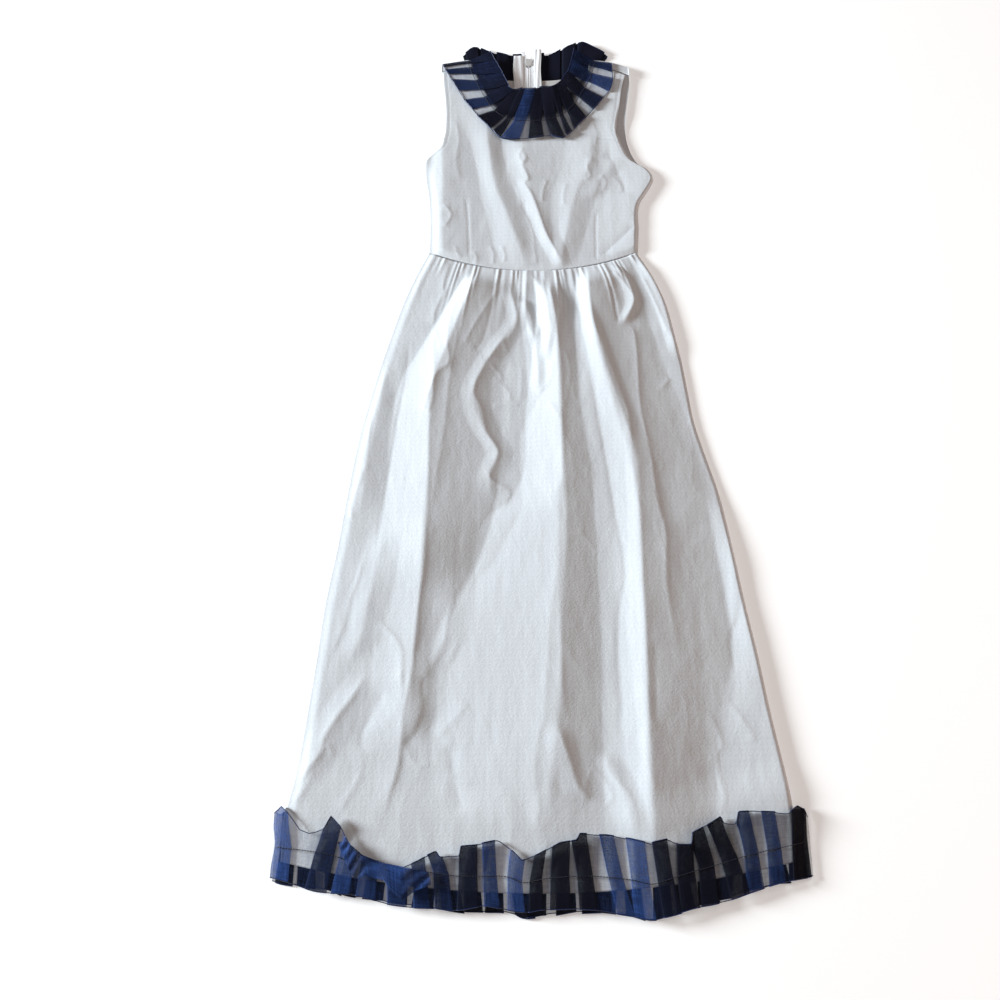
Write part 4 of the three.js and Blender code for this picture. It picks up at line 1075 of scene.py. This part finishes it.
# %% Build the bodice back
FLAT_SHARE, BEND_SHARE = 0.62, 0.6
NECK_HEM_Y = 616
PAINTED_SHADE_HALF, PAINTED_SHADE_FROM_Y, PAINTED_SHADE_FROM_Z = 98, 540, 4.6


def back_middle(side, along, down):
    """Middle of a back half: flat, then round the shoulder's top fold onto the front side."""
    top_x = mix(159 if side < 0 else 171, 3, along)
    on_shoulder = top_x > NECK_HALF
    bottom = waist_y(side * (1 - along))
    fold_y = shoulder_y(top_x)
    neck_y = mix(BACK_NECK_Y, SHOULDER_Y - 22, clamp(top_x / NECK_HALF) ** 3)
    flat_top = np.where(on_shoulder, fold_y, neck_y - 12)
    turn = clamp((down - FLAT_SHARE) / (1 - FLAT_SHARE))
    y = mix(bottom, flat_top, clamp(down / FLAT_SHARE))
    edge = column(BODICE_EDGES, "y", "left" if side < 0 else "back_right", y)
    x = mix(edge, CENTRE_BACK + side * 3, along)
    z = back_rest(x, y) + CLOTH / 2
    front = bodice_low(x, fold_y - SHOULDER_TURN) + CLOTH / 2
    radius = (front - z) / 2
    bend = math.pi * clamp(turn / BEND_SHARE)
    past = (SHOULDER_TURN - GAP - 1.0) * clamp((turn - BEND_SHARE) / (1 - BEND_SHARE))
    y_over = fold_y + radius * np.sin(bend) - past
    z_over = z + radius * (1 - np.cos(bend))
    y_neck = mix(flat_top, neck_y, turn)
    y = np.where(turn > 0, np.where(on_shoulder, y_over, y_neck), y)
    z = np.where((turn > 0) & on_shoulder, z_over, z)
    return np.stack([x, y, z], -1)


def bodice_back(name, side, node):
    """A back half as a closed loop of cloth: its outer side, then its inner side."""
    shares = np.concatenate([np.linspace(0, 0.4, 34), np.linspace(0.42, 1, 46)])
    steps = np.concatenate([np.linspace(0, FLAT_SHARE, 70), np.linspace(0.63, 1, 40)])
    along, down = np.meshgrid(shares, steps)
    middle = back_middle(side, along, down)
    ahead = back_middle(side, along, np.minimum(1, down + 0.004))
    ahead = ahead - back_middle(side, along, np.maximum(0, down - 0.004))
    length = np.hypot(ahead[..., 1], ahead[..., 2]) + NOT_ZERO
    faces = []
    for half in (-CLOTH / 2, CLOTH / 2):
        face = middle.copy()
        face[..., 1] += half * (-ahead[..., 2] / length)
        face[..., 2] += half * (ahead[..., 1] / length)
        faces.append(face)
    outer, inner = faces
    flat = smooth((down - 0.02) / 0.1) * (1 - smooth((down - 0.55) / 0.07))
    flat = flat * smooth(along / 0.05) * smooth((1 - along) / 0.05)
    inner_x, inner_y = inner[..., 0].copy(), inner[..., 1].copy()
    outer[..., 2] += flat * 0.5 * clamp(wrinkles(inner_x, inner_y, 47, 0.3) + 0.3)
    inner[..., 2] += flat * np.maximum(0.1, 0.3 + wrinkles(inner_x, inner_y, 48, 0.3))
    turned_down = np.exp(-((inner_y - NECK_HEM_Y) / 1.2) ** 2) * (np.abs(middle[..., 0]) < NECK_HALF)
    inner[..., 2] -= 0.5 * turned_down
    loop = np.concatenate([outer, inner[::-1]], 0)
    rows, columns = loop.shape[:2]
    index = np.arange(rows * columns).reshape(rows, columns)
    index = np.concatenate([index, index[:1]], 0)
    quads = quads_of(index)
    half_rows = len(outer)
    for side_column in (0, columns - 1):
        low = index[:half_rows, side_column]
        high = index[half_rows:2 * half_rows, side_column][::-1]
        end = np.stack([low[:-1], high[:-1], high[1:], low[1:]], -1)
        quads = np.concatenate([quads, end if side_column else end[:, ::-1]])
    if side > 0:
        quads = quads[:, ::-1]
    made = mesh_object(name, loop, quads, bazin, loop[..., :2])
    # Faces of the inner side seen through the neck opening take the darker copy of the bazin: painted shade.
    made.data.materials.append(painted_shade_inside)
    x, y, z = np.array([face.center[:] for face in made.data.polygons]).T / MM
    painted_shade_faces = (np.abs(x) < PAINTED_SHADE_HALF) & (y - SHIFT_Y > PAINTED_SHADE_FROM_Y) & (z > PAINTED_SHADE_FROM_Z)
    made.data.polygons.foreach_set("material_index", painted_shade_faces.astype(np.int32))
    return finish_piece(made, "bazin", node)


bodice_back_left = bodice_back("bodice_back_left_cloth", -1, "bodice_back_left")
bodice_back_right = bodice_back("bodice_back_right_cloth", 1, "bodice_back_right")

# %% [markdown]
# ## The pleated organza strips
#
# The ruffle is a sheer strip laid in pleats and sewn down along its middle, so both of its
# edges stand free. In each pleat the strip runs forward, doubles back and runs forward again.
# Where it lies threefold it looks almost black, and between the pleats a single layer lets
# the white cloth through. The pleat path below is drawn once and bent along each seam.

# %% Pleats
PLEAT_PATH = [
    # place across the fold from -0.5 to 0.5, level from 0 on the cloth to 1 on top
    (-0.62, 0.03), (-0.52, 0.45), (-0.44, 0.85), (-0.2, 1.0), (0.2, 0.96), (0.42, 0.95),
    (0.5, 0.78), (0.47, 0.6), (0.2, 0.5), (-0.2, 0.46), (-0.42, 0.4), (-0.5, 0.26), (-0.46, 0.1),
    (-0.1, 0.05), (0.4, 0.02), (0.6, 0.0),
]
PATH_PARTS = 3
STRIP_WIDE = 90
SHEER_HALF = 0.35


def pleated_line(pleats, seed):
    """For each point along a pleated strip: its seam place, level, place in the fold, fold
    share, painted sheen (painted shade where negative), and the lean of its fold toward the
    upper and the lower edge."""
    rng = np.random.default_rng(seed)
    rows = [(min(0, pleats[0][0] - pleats[0][1]), 0, 0, 0.7, 0.3, 0, 0, 0, 0)]
    for centre, width, lean_up, lean_down, painted_sheen in pleats:
        tall, jut, tilt = rng.uniform(0.7, 1.0), rng.uniform(0.2, 1), rng.uniform(-1, 1)
        for q, level in PLEAT_PATH:
            folded = 1.0 if abs(q) < 0.55 else 0.0
            rows.append((centre + q * width, level * tall, q * folded, folded, painted_sheen,
                         lean_up, lean_down, jut, tilt))
    rows.append((1, 0, 0, 0.7, 0.1, 0, 0, 0, 0))
    line = line_through(rows, PATH_PARTS)
    return np.clip(line[:, 0], 0, 1), line[:, 1:].T


def pleated_strip(name, node, place, pleats, rows, seed, dense=0.0, dense_inside=0.0, spread_in=1.0,
                  uneven=1.0, painted_sheen_inside=((0, 1), (1, 1))):
    """place(along, across) gives x, y, the rest height and the room that the pleats may take.
    pleats is a table of centre, width, lean up, lean down and painted sheen, all in shares of the seam."""
    share, facts = pleated_line(pleats, seed)
    along, across = np.meshgrid(share, rows)
    level, q, folded, painted_sheen, lean_up, lean_down, jut, tilt = [
        np.broadcast_to(fact, along.shape) for fact in facts]
    free = np.abs(across - 0.5) * 2
    upper = across < 0.5
    width = 0.04 * folded
    lean = np.where(upper, lean_up, lean_down) * free
    wider = np.where(upper, spread_in - 1, 0.12) * free * q * width
    along = np.clip(along + (lean + wider) * (0.35 + 0.65 * folded), 0, 1)
    x, y, rest, room = place(along, across)
    jut_far = np.where(upper, 4.5, -2.5) * free ** 2 * folded * jut * (0.35 + 0.65 * level)
    y = y + uneven * (jut_far + 4.0 * tilt * q * free ** 2)
    wave = 0.35 * free * np.sin(along * 71 + seed) * np.sin(across * 5 + along * 40)
    z = rest + SHEER_HALF + room * level + wave + SHEER_HALF
    points = np.stack([x, y, z], -1)
    middle = len(rows) // 2
    cut = np.concatenate([[0], np.cumsum(np.linalg.norm(np.diff(points[middle], axis=0), axis=1))])
    uv = np.stack(np.meshgrid(cut, rows * STRIP_WIDE), -1)
    made = mesh_object(name, points, grid_quads(*x.shape), organza, uv)
    inside_share = np.where(upper, dense_inside, 0) * smooth(free * 3 + 0.15)
    fold_share = np.maximum(np.maximum(folded, dense), inside_share)
    point_fact(made, "fold", fold_share)
    point_fact(made, "painted_sheen", painted_sheen * np.where(upper, np.interp(along, *painted_sheen_inside), 1.0))
    laid_long = np.linalg.norm(np.diff(points, axis=1), axis=2).sum(axis=1)
    print(name, "cut length in mm:", round(float(laid_long.mean())))
    finish_piece(made, "organza", node)
    return made, points, float(laid_long.mean())


def point_fact(made, name, values):
    """Stores a number for each point, which the organza's finish reads."""
    layer = made.data.attributes.new(name, "FLOAT", "POINT")
    layer.data.foreach_set("value", np.ascontiguousarray(values, np.float32).ravel())


def rolled_edges(name, points):
    made = tube_object(name, [points[0], points[-1]], 0.6, satin, closed_ends=False)
    return finish_piece(made, "organza")


def middle_stitches(name, place, across):
    """The line that sews a strip down runs over the top of its pleats."""
    along = np.linspace(0.01, 0.99, 400)
    x, y, rest, room = place(along, np.full(400, across))
    line = np.column_stack([x, y, rest + room + 1.1])
    made = tube_object(name, stitches(line, 3.4, 0.4), 0.65, dark_thread, sides=5)
    return finish_piece(made, "organza")


print("points in one pleat:", len(PLEAT_PATH) * PATH_PARTS)


# %% The strip round the hem
RUFFLE_CLEAR = 1.5
STITCH_SHARE = 0.54
FRONT_HALF, BACK_HALF = 362, 360
BACK_PLEATS = 23


def hem_front_place(along, across):
    x = mix(-FRONT_HALF, FRONT_HALF, along)
    stitch = stitch_y(x)
    down = column(HEM_SECTIONS, "x", "down", x)
    lift = column(HEM_SECTIONS, "x", "lift", x)
    above = across < STITCH_SHARE
    free_edge = np.interp(x, HEM_FREE_EDGE[:, 0], HEM_FREE_EDGE[:, 1])
    y_up = mix(free_edge, stitch, across / STITCH_SHARE)
    y_down = stitch - down * (across - STITCH_SHARE) / (1 - STITCH_SHARE)
    y = np.where(above, y_up, y_down)
    lift = np.where(above, lift * (1 - across / STITCH_SHARE), 0)
    edge = np.where(x < 0, -skirt_left(y), skirt_right(y))
    past = smooth((np.abs(x) - edge) / 14)
    hem = hem_y(clamp(np.abs(x) / HEM_HALF))
    below = smooth((hem - y) / 22)
    rest = skirt_top(x, np.maximum(y, hem)) + RUFFLE_CLEAR
    ground = mix(rest - RUFFLE_CLEAR * below, UNDER_RUFFLE + GAP, past)
    spread = mix(1.4, 2.8, np.abs(across - STITCH_SHARE) / 0.54)
    return x, y, ground + lift * (1 - past), spread * (1 - 0.7 * past)


HEM_FRONT_PLEATS = [
    # centre x, width, lean up, lean down in mm, painted sheen (negative paints shade)
    (-346, 23, -8, -4, 1.1), (-289, 25, 8, -10, 0.25), (-259, 20, 6, -8, 1.0), (-229, 22, 0, -4, 0.6),
    (-195, 22, -4, 4, 0.5), (-163, 18, -2, 5, 0.5), (-134, 20, -8, 5, 0.3), (-98, 24, 0, 0, 0.05),
    (-69, 17, -2, 3, 0.6), (-36, 19, 4, 2, 1.1), (-8, 16, 6, 0, 0.0), (24, 24, 2, 0, 0.0),
    (57, 20, -7, 4, 0.0), (97, 19, -10, 13, 0.8), (130, 24, -5, 5, 1.1), (163, 20, -6, 8, 0.05),
    (191, 22, 0, 4, -0.2), (219, 20, -12, 2, -0.2), (250, 21, -17, 12, -0.1), (280, 18, -9, 3, 0.35),
    (311, 18, -5, 1, 0.45), (347, 22, 2, 0, -0.2),
]


def seam_shares(table, low, high):
    """Millimetres along a straight seam to shares of it."""
    long = high - low
    return [((c - low) / long, w / long, u / long, d / long, painted_sheen) for c, w, u, d, painted_sheen in table]


HEM_ROWS = np.array([0, 0.06, 0.12, 0.2, 0.28, 0.36, 0.44, 0.5, 0.54, 0.58, 0.64, 0.72, 0.8, 0.87, 0.94, 1])
hem_front, hem_points, hem_cut = pleated_strip(
    "hem_ruffle_front_cloth", "hem_ruffle_front", hem_front_place,
    seam_shares(HEM_FRONT_PLEATS, -FRONT_HALF, FRONT_HALF), HEM_ROWS, 3, uneven=0.4)
hem_edge = rolled_edges("hem_ruffle_front_edge", hem_points)
hem_seam = middle_stitches("hem_ruffle_front_stitches", hem_front_place, STITCH_SHARE)

# %% The twisted stretch of the hem strip
TWIST_UPPER = [(-272, -630), (-257, -630), (-248, -642), (-237, -647), (-223, -652), (-207, -657),
               (-186, -661), (-171, -664), (-150, -668)]
TWIST_LOWER = [(-268, -640), (-256, -664), (-247, -677), (-232, -673), (-208, -679), (-202, -688),
               (-184, -704), (-168, -692), (-146, -684)]
along, turn = unit_grid(97, 25)
turn = turn * 2 * np.pi
knots = np.linspace(0, 1, len(TWIST_UPPER))
upper_line = [np.interp(along, knots, [point[k] for point in TWIST_UPPER]) for k in (0, 1)]
lower_line = [np.interp(along, knots, [point[k] for point in TWIST_LOWER]) for k in (0, 1)]
share = (1 - np.cos(turn)) / 2
x, y = (mix(a, b, share) for a, b in zip(upper_line, lower_line))
facets = np.abs(((along * 7 + 1.1 * np.sin(along * 5) + 1.6 * share) % 1) - 0.5) * 2
below_it = skirt_top(x, np.maximum(y, hem_y(clamp(np.abs(x) / HEM_HALF)))) + RUFFLE_CLEAR
z = below_it + 8.2 + (1.3 + 1.5 * np.sin(along * np.pi)) * np.sin(turn) + 3.0 * facets
twist = mesh_object(
    "hem_ruffle_front_twist", np.stack([x, y, z], -1), grid_quads(*x.shape, face_down=True), organza,
    np.stack([along * 110, turn * 8], -1))
point_fact(twist, "fold", np.full_like(x, 1.4))
# The twist lies in dense layers and carries a strong, wavering painted sheen.
point_fact(twist, "painted_sheen", 1.0 + 0.7 * np.sin(along * 11 + turn))
finish_piece(twist, "organza")


def hem_back_place(along, across):
    x = mix(-BACK_HALF, BACK_HALF, along)
    y = stitch_y(x) + mix(42, -44, across)
    ends = smooth(along / 0.02) * smooth((1 - along) / 0.02)
    return x, y, np.zeros_like(x) - 0.5, 1.9 * ends


draw = np.random.default_rng(17).uniform
# The back strip gets negative painted sheen, which makes it darker: painted shade.
back_pleats = [
    ((k + 0.5 + draw(-0.14, 0.14)) / BACK_PLEATS, draw(0.6, 0.85) / BACK_PLEATS,
     draw(-0.2, 0.2) / BACK_PLEATS, draw(-0.3, 0.3) / BACK_PLEATS, -0.8)
    for k in range(BACK_PLEATS)]
hem_back, hem_back_points, hem_back_cut = pleated_strip(
    "hem_ruffle_back_cloth", "hem_ruffle_back", hem_back_place, back_pleats, np.linspace(0, 1, 9), 8)
hem_back_edge = rolled_edges("hem_ruffle_back_edge", hem_back_points + np.array([0, 0, 0.4]))

# %% The strip round the neck
STRIP_NAMES = ("share", "mid_x", "mid_y", "in_x", "in_y", "out_x", "out_y", "lift")
NECK_SECTIONS = (STRIP_NAMES, [
    (0, -113, 680, -72, 690, -156, 672, 7), (0.07, -108, 663, -60, 664, -150, 661, 5),
    (0.16, -97, 634, -48, 638, -138, 636, 5), (0.25, -80, 597, -38, 616, -113, 590, 4),
    (0.35, -58, 566, -26, 611, -84, 552, 3), (0.43, -34, 553, -15, 613, -52, 516, 3),
    (0.5, -8, 551, 0, 612, -12, 515, 4), (0.57, 20, 552, 18, 616, 24, 520, 3),
    (0.64, 44, 560, 33, 617, 54, 519, 4), (0.72, 66, 578, 46, 626, 84, 550, 3),
    (0.81, 87, 612, 58, 642, 114, 588, 4), (0.9, 102, 644, 66, 660, 139, 628, 6),
    (1, 112, 682, 74, 694, 140, 676, 8),
])
BACK_NECK_SECTIONS = (STRIP_NAMES, [
    (0, 8, 633, 9, 702, 8, 597, 0), (0.2, 25, 634, 27, 700, 29, 597, 0.4),
    (0.42, 50, 638, 50, 704, 62, 601, 2), (0.64, 74, 645, 74, 713, 98, 612, 4),
    (0.84, 95, 655, 98, 718, 130, 634, 5), (1, 106, 664, 116, 704, 148, 658, 3),
])
NECK_REST = UNDER_RUFFLE + CLOTH + GAP + PUFF + CLOTH + 0.4


def strip_place(sections, along, across):
    read = {name: column(sections, "share", name, along) for name in STRIP_NAMES[1:]}
    inner = across < 0.5
    t = np.where(inner, across / 0.5, (across - 0.5) / 0.5)
    x, y = (np.where(inner, mix(read["in_" + axis], read["mid_" + axis], t),
                     mix(read["mid_" + axis], read["out_" + axis], t)) for axis in "xy")
    return x, y, read["lift"]


def neck_front_place(along, across):
    x, y, lift = strip_place(NECK_SECTIONS, along, across)
    standing = lift * smooth((0.5 - across) / 0.5)
    spread = mix(1.4, np.where(across < 0.5, 4.2, 3.6), np.abs(across - 0.5) / 0.5)
    return x, y, NECK_REST + standing, spread


NECK_ROWS = np.array([0, 0.05, 0.11, 0.18, 0.26, 0.34, 0.42, 0.5, 0.58, 0.66, 0.74, 0.82, 0.89, 0.95, 1])
NECK_PLEATS = [
    # centre, width, lean up, lean down, as shares of the strip; painted sheen
    (0.012, 0.024, 0.0, 0.0, 0.1), (0.085, 0.047, 0.0, 0.0, 0.35), (0.175, 0.052, 0.0, 0.0, 0.5),
    (0.262, 0.05, 0.005, 0.0, 0.5), (0.352, 0.062, 0.01, 0.0, 0.0), (0.41, 0.026, 0.01, 0.0, 0.0),
    (0.465, 0.052, 0.01, -0.012, 0.8), (0.535, 0.046, 0.0, 0.0, 0.0), (0.605, 0.05, 0.0, 0.012, 0.0),
    (0.662, 0.02, 0.0, 0.0, 0.0), (0.725, 0.054, -0.01, -0.01, -0.2), (0.81, 0.052, 0.0, 0.0, 0.1),
    (0.9, 0.05, 0.0, 0.0, 0.7), (0.978, 0.03, 0.0, 0.0, 0.3),
]
# How much of the painted sheen the inner half of the neck strip keeps, along the strip.
NECK_PAINTED_SHEEN = ((0, 0.2, 0.4, 0.46, 0.52, 0.6, 0.84, 0.94, 1), (0.6, 0.1, 0.1, 0.75, 0.3, 0, 0.1, 0.8, 0.8))
neck_front, neck_points, neck_cut = pleated_strip(
    "neck_ruffle_front_cloth", "neck_ruffle_front", neck_front_place, NECK_PLEATS, NECK_ROWS, 6,
    dense_inside=1.6, spread_in=2.3, painted_sheen_inside=NECK_PAINTED_SHEEN)
neck_edge = rolled_edges("neck_ruffle_front_edge", neck_points)
neck_seam = middle_stitches("neck_ruffle_front_stitches", neck_front_place, 0.5)


def neck_back_place(side):
    def place(along, across):
        out, y, lift = strip_place(BACK_NECK_SECTIONS, along, across)
        free_from = mix(648, SHOULDER_Y + 6, smooth((out - 66) / 30))
        standing = lift * smooth((y - free_from) / 18)
        far = smooth((out - 40) / 30) * smooth((0.5 - across) / 0.5)
        y = y + (5 if side > 0 else -7) * far
        if side > 0:
            end_flap = smooth((along - 0.84) / 0.14) * smooth((0.5 - across) / 0.5)
            out, y = out + 24 * end_flap, y - 13 * end_flap
        spread = mix(1.2, 2.6, np.abs(across - 0.5) / 0.5)
        return CENTRE_BACK + side * out, y, standing - 0.3, spread
    return place


NECK_BACK_PLEATS = [
    (0.12, 0.17, 0.0, 0.0, -0.2), (0.36, 0.2, 0.02, 0.0, -0.3), (0.62, 0.21, 0.0, 0.0, 0.0),
    (0.86, 0.2, 0.0, 0.0, -0.1),
]
back_strips = []
for word, side in (("left", -1), ("right", 1)):
    title = "neck_ruffle_back_" + word
    made, points, cut = pleated_strip(
        title + "_cloth", title, neck_back_place(side), NECK_BACK_PLEATS, NECK_ROWS, 12 + side, dense=2.5)
    back_strips.append((made, rolled_edges(title + "_edge", points), cut))

# %% [markdown]
# ## Sewn lines on the cloth
#
# Stitches are what tells a viewer the scale. Each one here is a short capsule of thread that
# dips into the cloth at both ends, set along the darts and round the armholes.


# %% Stitch lines
DARTS = 3


def on_bodice(x, y):
    return np.column_stack([x, y, bodice_top(x, y) + 0.12])


sewn_lines = [on_bodice(*line_through(row[3], 8).T) for row in BODICE_CREASES[:DARTS]]
arm_y = np.linspace(482, 660, 60)
for edge_x, sign in zip(bodice_sides(arm_y), (1, -1)):
    sewn_lines.append(on_bodice(edge_x + sign * ARM_HEM, arm_y))
threads = [thread for line in sewn_lines for thread in stitches(line, 2.2, 0.9)]
finish_piece(tube_object("bodice_stitches", threads, 0.2, white_thread, sides=5), "bazin")

# %% [markdown]
# ## The zip
#
# The zip closes the centre back and shows its inner side through the neck: two woven tapes, a
# chain of coil teeth between them, the slider at the top and a white strip turned in along
# each side. The pull tab hangs outside, so under the dress as it lies.

# %% Zip tapes, facings and teeth
TAPE_WIDE, ZIP_TOP = 12, 704
FACING_LOW = 596
SLIDER_LONG, SLIDER_WIDE, SLIDER_HIGH, SLIDER_Z = 15.5, 12, 5.4, 3


def cloth_top(y):
    return back_rest(np.full_like(y, CENTRE_BACK), y) + CLOTH


def zip_sheet(name, side, x, y, z):
    made = sheet_object(name + "_cloth", x, y, z, lining, 1.0, mirrored=side < 0)
    finish_piece(made, "lining", name)


for word, side in (("left", -1), ("right", 1)):
    along, down = unit_grid(9, 180)
    y = mix(ZIP_TOP, ZIP_END, down)
    beside_slider = smooth((y - SLIDER_Y + SLIDER_LONG / 2 + 5) / 4)
    x = CENTRE_BACK + side * mix(mix(0.15, SLIDER_WIDE / 2 + 0.4, beside_slider), TAPE_WIDE, along)
    over_teeth = 0.7 * np.exp(-(along / 0.16) ** 2) * (1 - beside_slider)
    z = cloth_top(y) + GAP + 1.0 + over_teeth + wrinkles(x * 3, y * 2, 61, 0.12)
    zip_sheet("zip_tape_" + word, side, x, y, z)
    along, down = unit_grid(22, 90)
    y = mix(ZIP_TOP - 10 if side < 0 else ZIP_TOP + 4, FACING_LOW, down)
    x = CENTRE_BACK + side * (TAPE_WIDE + GAP - 2.5 + (17 if side < 0 else 12) * along)
    x = x + side * 0.8 * np.sin(down * 9 + side) * along
    soft_fold = 0.3 * (1 + np.sin(along * 9 + down * 5 + side)) * smooth(along * 4) * smooth((1 - along) * 4)
    z = cloth_top(y) + GAP + 2.3 + soft_fold + wrinkles(x * 2, y, 71, 0.25)
    zip_sheet("zip_facing_" + word, side, x, y, z)

TOOTH_FROM, TOOTH_PITCH = 187, 1.5
TOOTH_ACROSS, TOOTH_LIFT = np.array([2.0, 1.2, 0.2, -0.5]), np.array([0.0, 0.35, 0.4, 0.1])
teeth = []
for at in np.arange(TOOTH_FROM, SLIDER_Y - SLIDER_LONG / 2 + 6.5, TOOTH_PITCH):
    base = float(cloth_top(np.array([at]))[0]) + 0.55
    for side in (-1, 1):
        shift = 0 if side < 0 else TOOTH_PITCH / 2
        teeth.append(np.column_stack([
            CENTRE_BACK + side * TOOTH_ACROSS, np.full(4, at + shift), base + TOOTH_LIFT - 0.1]))
finish_piece(tube_object("zip_teeth", teeth, 0.42, nylon), "lining", "zip_chain")


# %% Slider and pull
def plate_from(name, outlines, thick, bevel, material):
    """A flat plate from closed outlines: the first is its edge and the others are holes."""
    curve = bpy.data.curves.new(name, "CURVE")
    curve.dimensions = "2D"
    curve.fill_mode = "BOTH"
    curve.extrude = (thick / 2 - bevel) * MM
    curve.bevel_depth = bevel * MM
    curve.bevel_resolution = 3
    curve.offset = -bevel * MM
    for outline in outlines:
        spline = curve.splines.new("POLY")
        spline.points.add(len(outline) - 1)
        for point, (px, py) in zip(spline.points, outline):
            point.co = (px * MM, py * MM, 0, 1)
        spline.use_cyclic_u = True
    holder = bpy.data.objects.new(name, curve)
    bpy.context.collection.objects.link(holder)
    bpy.context.view_layer.update()
    mesh = bpy.data.meshes.new_from_object(holder.evaluated_get(bpy.context.evaluated_depsgraph_get()))
    bpy.data.objects.remove(holder)
    mesh.name = name
    mesh.materials.clear()
    mesh.materials.append(material)
    return mesh


def rounded(points, parts=5):
    """Rounds the corners of a closed outline."""
    points = np.asarray(points, float)
    out = []
    for k in range(len(points)):
        a, b, c = points[k - 1], points[k], points[(k + 1) % len(points)]
        start, end = mix(b, a, 0.28), mix(b, c, 0.28)
        for t in np.linspace(0, 1, parts):
            out.append(mix(mix(start, b, t), mix(b, end, t), t))
    return np.array(out)


def part_object(name, mesh, x, y, z):
    made = bpy.data.objects.new(name, mesh)
    mesh.transform(Matrix.Translation((x * MM, (y + SHIFT_Y) * MM, z * MM)))
    bpy.context.collection.objects.link(made)
    return made


half_long, half_wide = SLIDER_LONG / 2, SLIDER_WIDE / 2
shield = rounded([
    (-3.4, -half_long), (3.4, -half_long), (4.7, -half_long + 2.4), (half_wide, half_long - 4.5),
    (4.4, half_long), (1.3, half_long), (0, half_long - 2.2), (-1.3, half_long), (-4.4, half_long),
    (-half_wide, half_long - 4.5), (-4.7, -half_long + 2.4),
])
WING = 1.5


def rim(low_x, high_x):
    return rounded([(low_x, -1), (high_x, -1), (high_x, 4), (low_x, 4)])


slider_middle = SLIDER_Z + SLIDER_HIGH / 2
slider_neck = rounded([(-1.9, 1.5), (1.9, 1.5), (1.2, 7), (-1.2, 7)])
SLIDER_PLATES = [
    # name, outline, thickness, bevel, height of its middle, node
    ("upper", shield * 0.985, WING, 0.45, SLIDER_Z + SLIDER_HIGH - WING / 2, ["zip_slider"]),
    ("lower", shield * 0.985, WING, 0.45, SLIDER_Z + WING / 2, []),
    ("neck", slider_neck, SLIDER_HIGH - 1.6, 0.2, slider_middle, []),
    ("rim_left", rim(-5.6, -4.7), SLIDER_HIGH - 1.4, 0.15, slider_middle, []),
    ("rim_right", rim(4.7, 5.6), SLIDER_HIGH - 1.4, 0.15, slider_middle, []),
]
for word, outline, thick, bevel, middle_z, nodes in SLIDER_PLATES:
    plate = plate_from("slider_" + word, [outline], thick, bevel, enamel)
    made = part_object("zip_slider_" + word, plate, CENTRE_BACK, SLIDER_Y, middle_z)
    finish_piece(made, "zip_enamel", *nodes)
bridge_line = [(CENTRE_BACK, SLIDER_Y + dy, z) for dy, z in (
    (-4.0, 3.4), (-3.9, 2.2), (-3.4, 1.2), (-2.4, 0.85), (0, 0.8), (2.4, 0.85), (3.4, 1.2),
    (3.9, 2.2), (4.0, 3.4))]
bridge = tube_object("zip_slider_bridge", [line_through(bridge_line, 3)], 0.42, enamel, sides=10,
                     closed_ends=False)
finish_piece(bridge, "zip_enamel")

PULL_Y, PULL_Z = SLIDER_Y - 1, SLIDER_Z - 0.85
tab_edge = rounded([
    (-2.7, 0.6), (-2.7, -9), (-1.9, -12), (-2.4, -22.6), (-1.5, -26), (1.5, -26), (2.4, -22.6),
    (1.9, -12), (2.7, -9), (2.7, 0.6),
])
tab_hole = rounded([(-1.6, -0.6), (-1.6, -5.8), (1.6, -5.8), (1.6, -0.6)])
tab_mesh = plate_from("pull_tab", [tab_edge, tab_hole], 1.0, 0.3, enamel)
pull = part_object("zip_pull_tab", tab_mesh, CENTRE_BACK, PULL_Y, PULL_Z)
finish_piece(pull, "zip_enamel", "zip_pull", body="pull")
print("teeth:", len(teeth))

# %% [markdown]
# ## Cloth facts and the end
#
# Each sheet states the cut that shows. The skirt is cut as wide as its hem and gathered to
# the waist, and each organza strip is cut more than twice as long as the seam that it is sewn to.

# %% Sheets
STRIP_SHOWS = 0.088
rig.sheet(skirt_front, flat=(0.72, 0.95), held="laid", rests_on=[skirt_back_left, skirt_back_right],
         area=0.575)
for half in (skirt_back_left, skirt_back_right):
    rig.sheet(half, flat=(0.36, 0.95), held="laid", rests_on=[], area=0.285)
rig.sheet(bodice_front, flat=(0.39, 0.42), held="laid", rests_on=[bodice_back_left, bodice_back_right],
         area=0.12)
for half in (bodice_back_left, bodice_back_right):
    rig.sheet(half, flat=(0.21, 0.44), held="laid", rests_on=[], area=0.065)
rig.sheet(hem_front, flat=(round(hem_cut * MM, 3), STRIP_SHOWS), held="laid", rests_on=[skirt_front],
         with_pieces=[twist, hem_edge, hem_seam])
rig.sheet(hem_back, flat=(round(hem_back_cut * MM, 3), STRIP_SHOWS), held="laid", rests_on=[],
         with_pieces=[hem_back_edge])
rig.sheet(neck_front, flat=(round(neck_cut * MM, 3), STRIP_SHOWS), held="laid", rests_on=[bodice_front],
         with_pieces=[neck_edge, neck_seam])
for made, edge, cut in back_strips:
    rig.sheet(made, flat=(round(cut * MM, 3), STRIP_SHOWS), held="laid", rests_on=[],
             with_pieces=[edge])

# %% Finish
low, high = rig.bounds()
print("visual in mm:", [round(v / MM, 1) for v in low], [round(v / MM, 1) for v in high])
with open("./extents.json", "w") as out:
    json.dump({"cad": [list(cad_low), list(cad_high)], "visual": [list(low), list(high)]}, out)
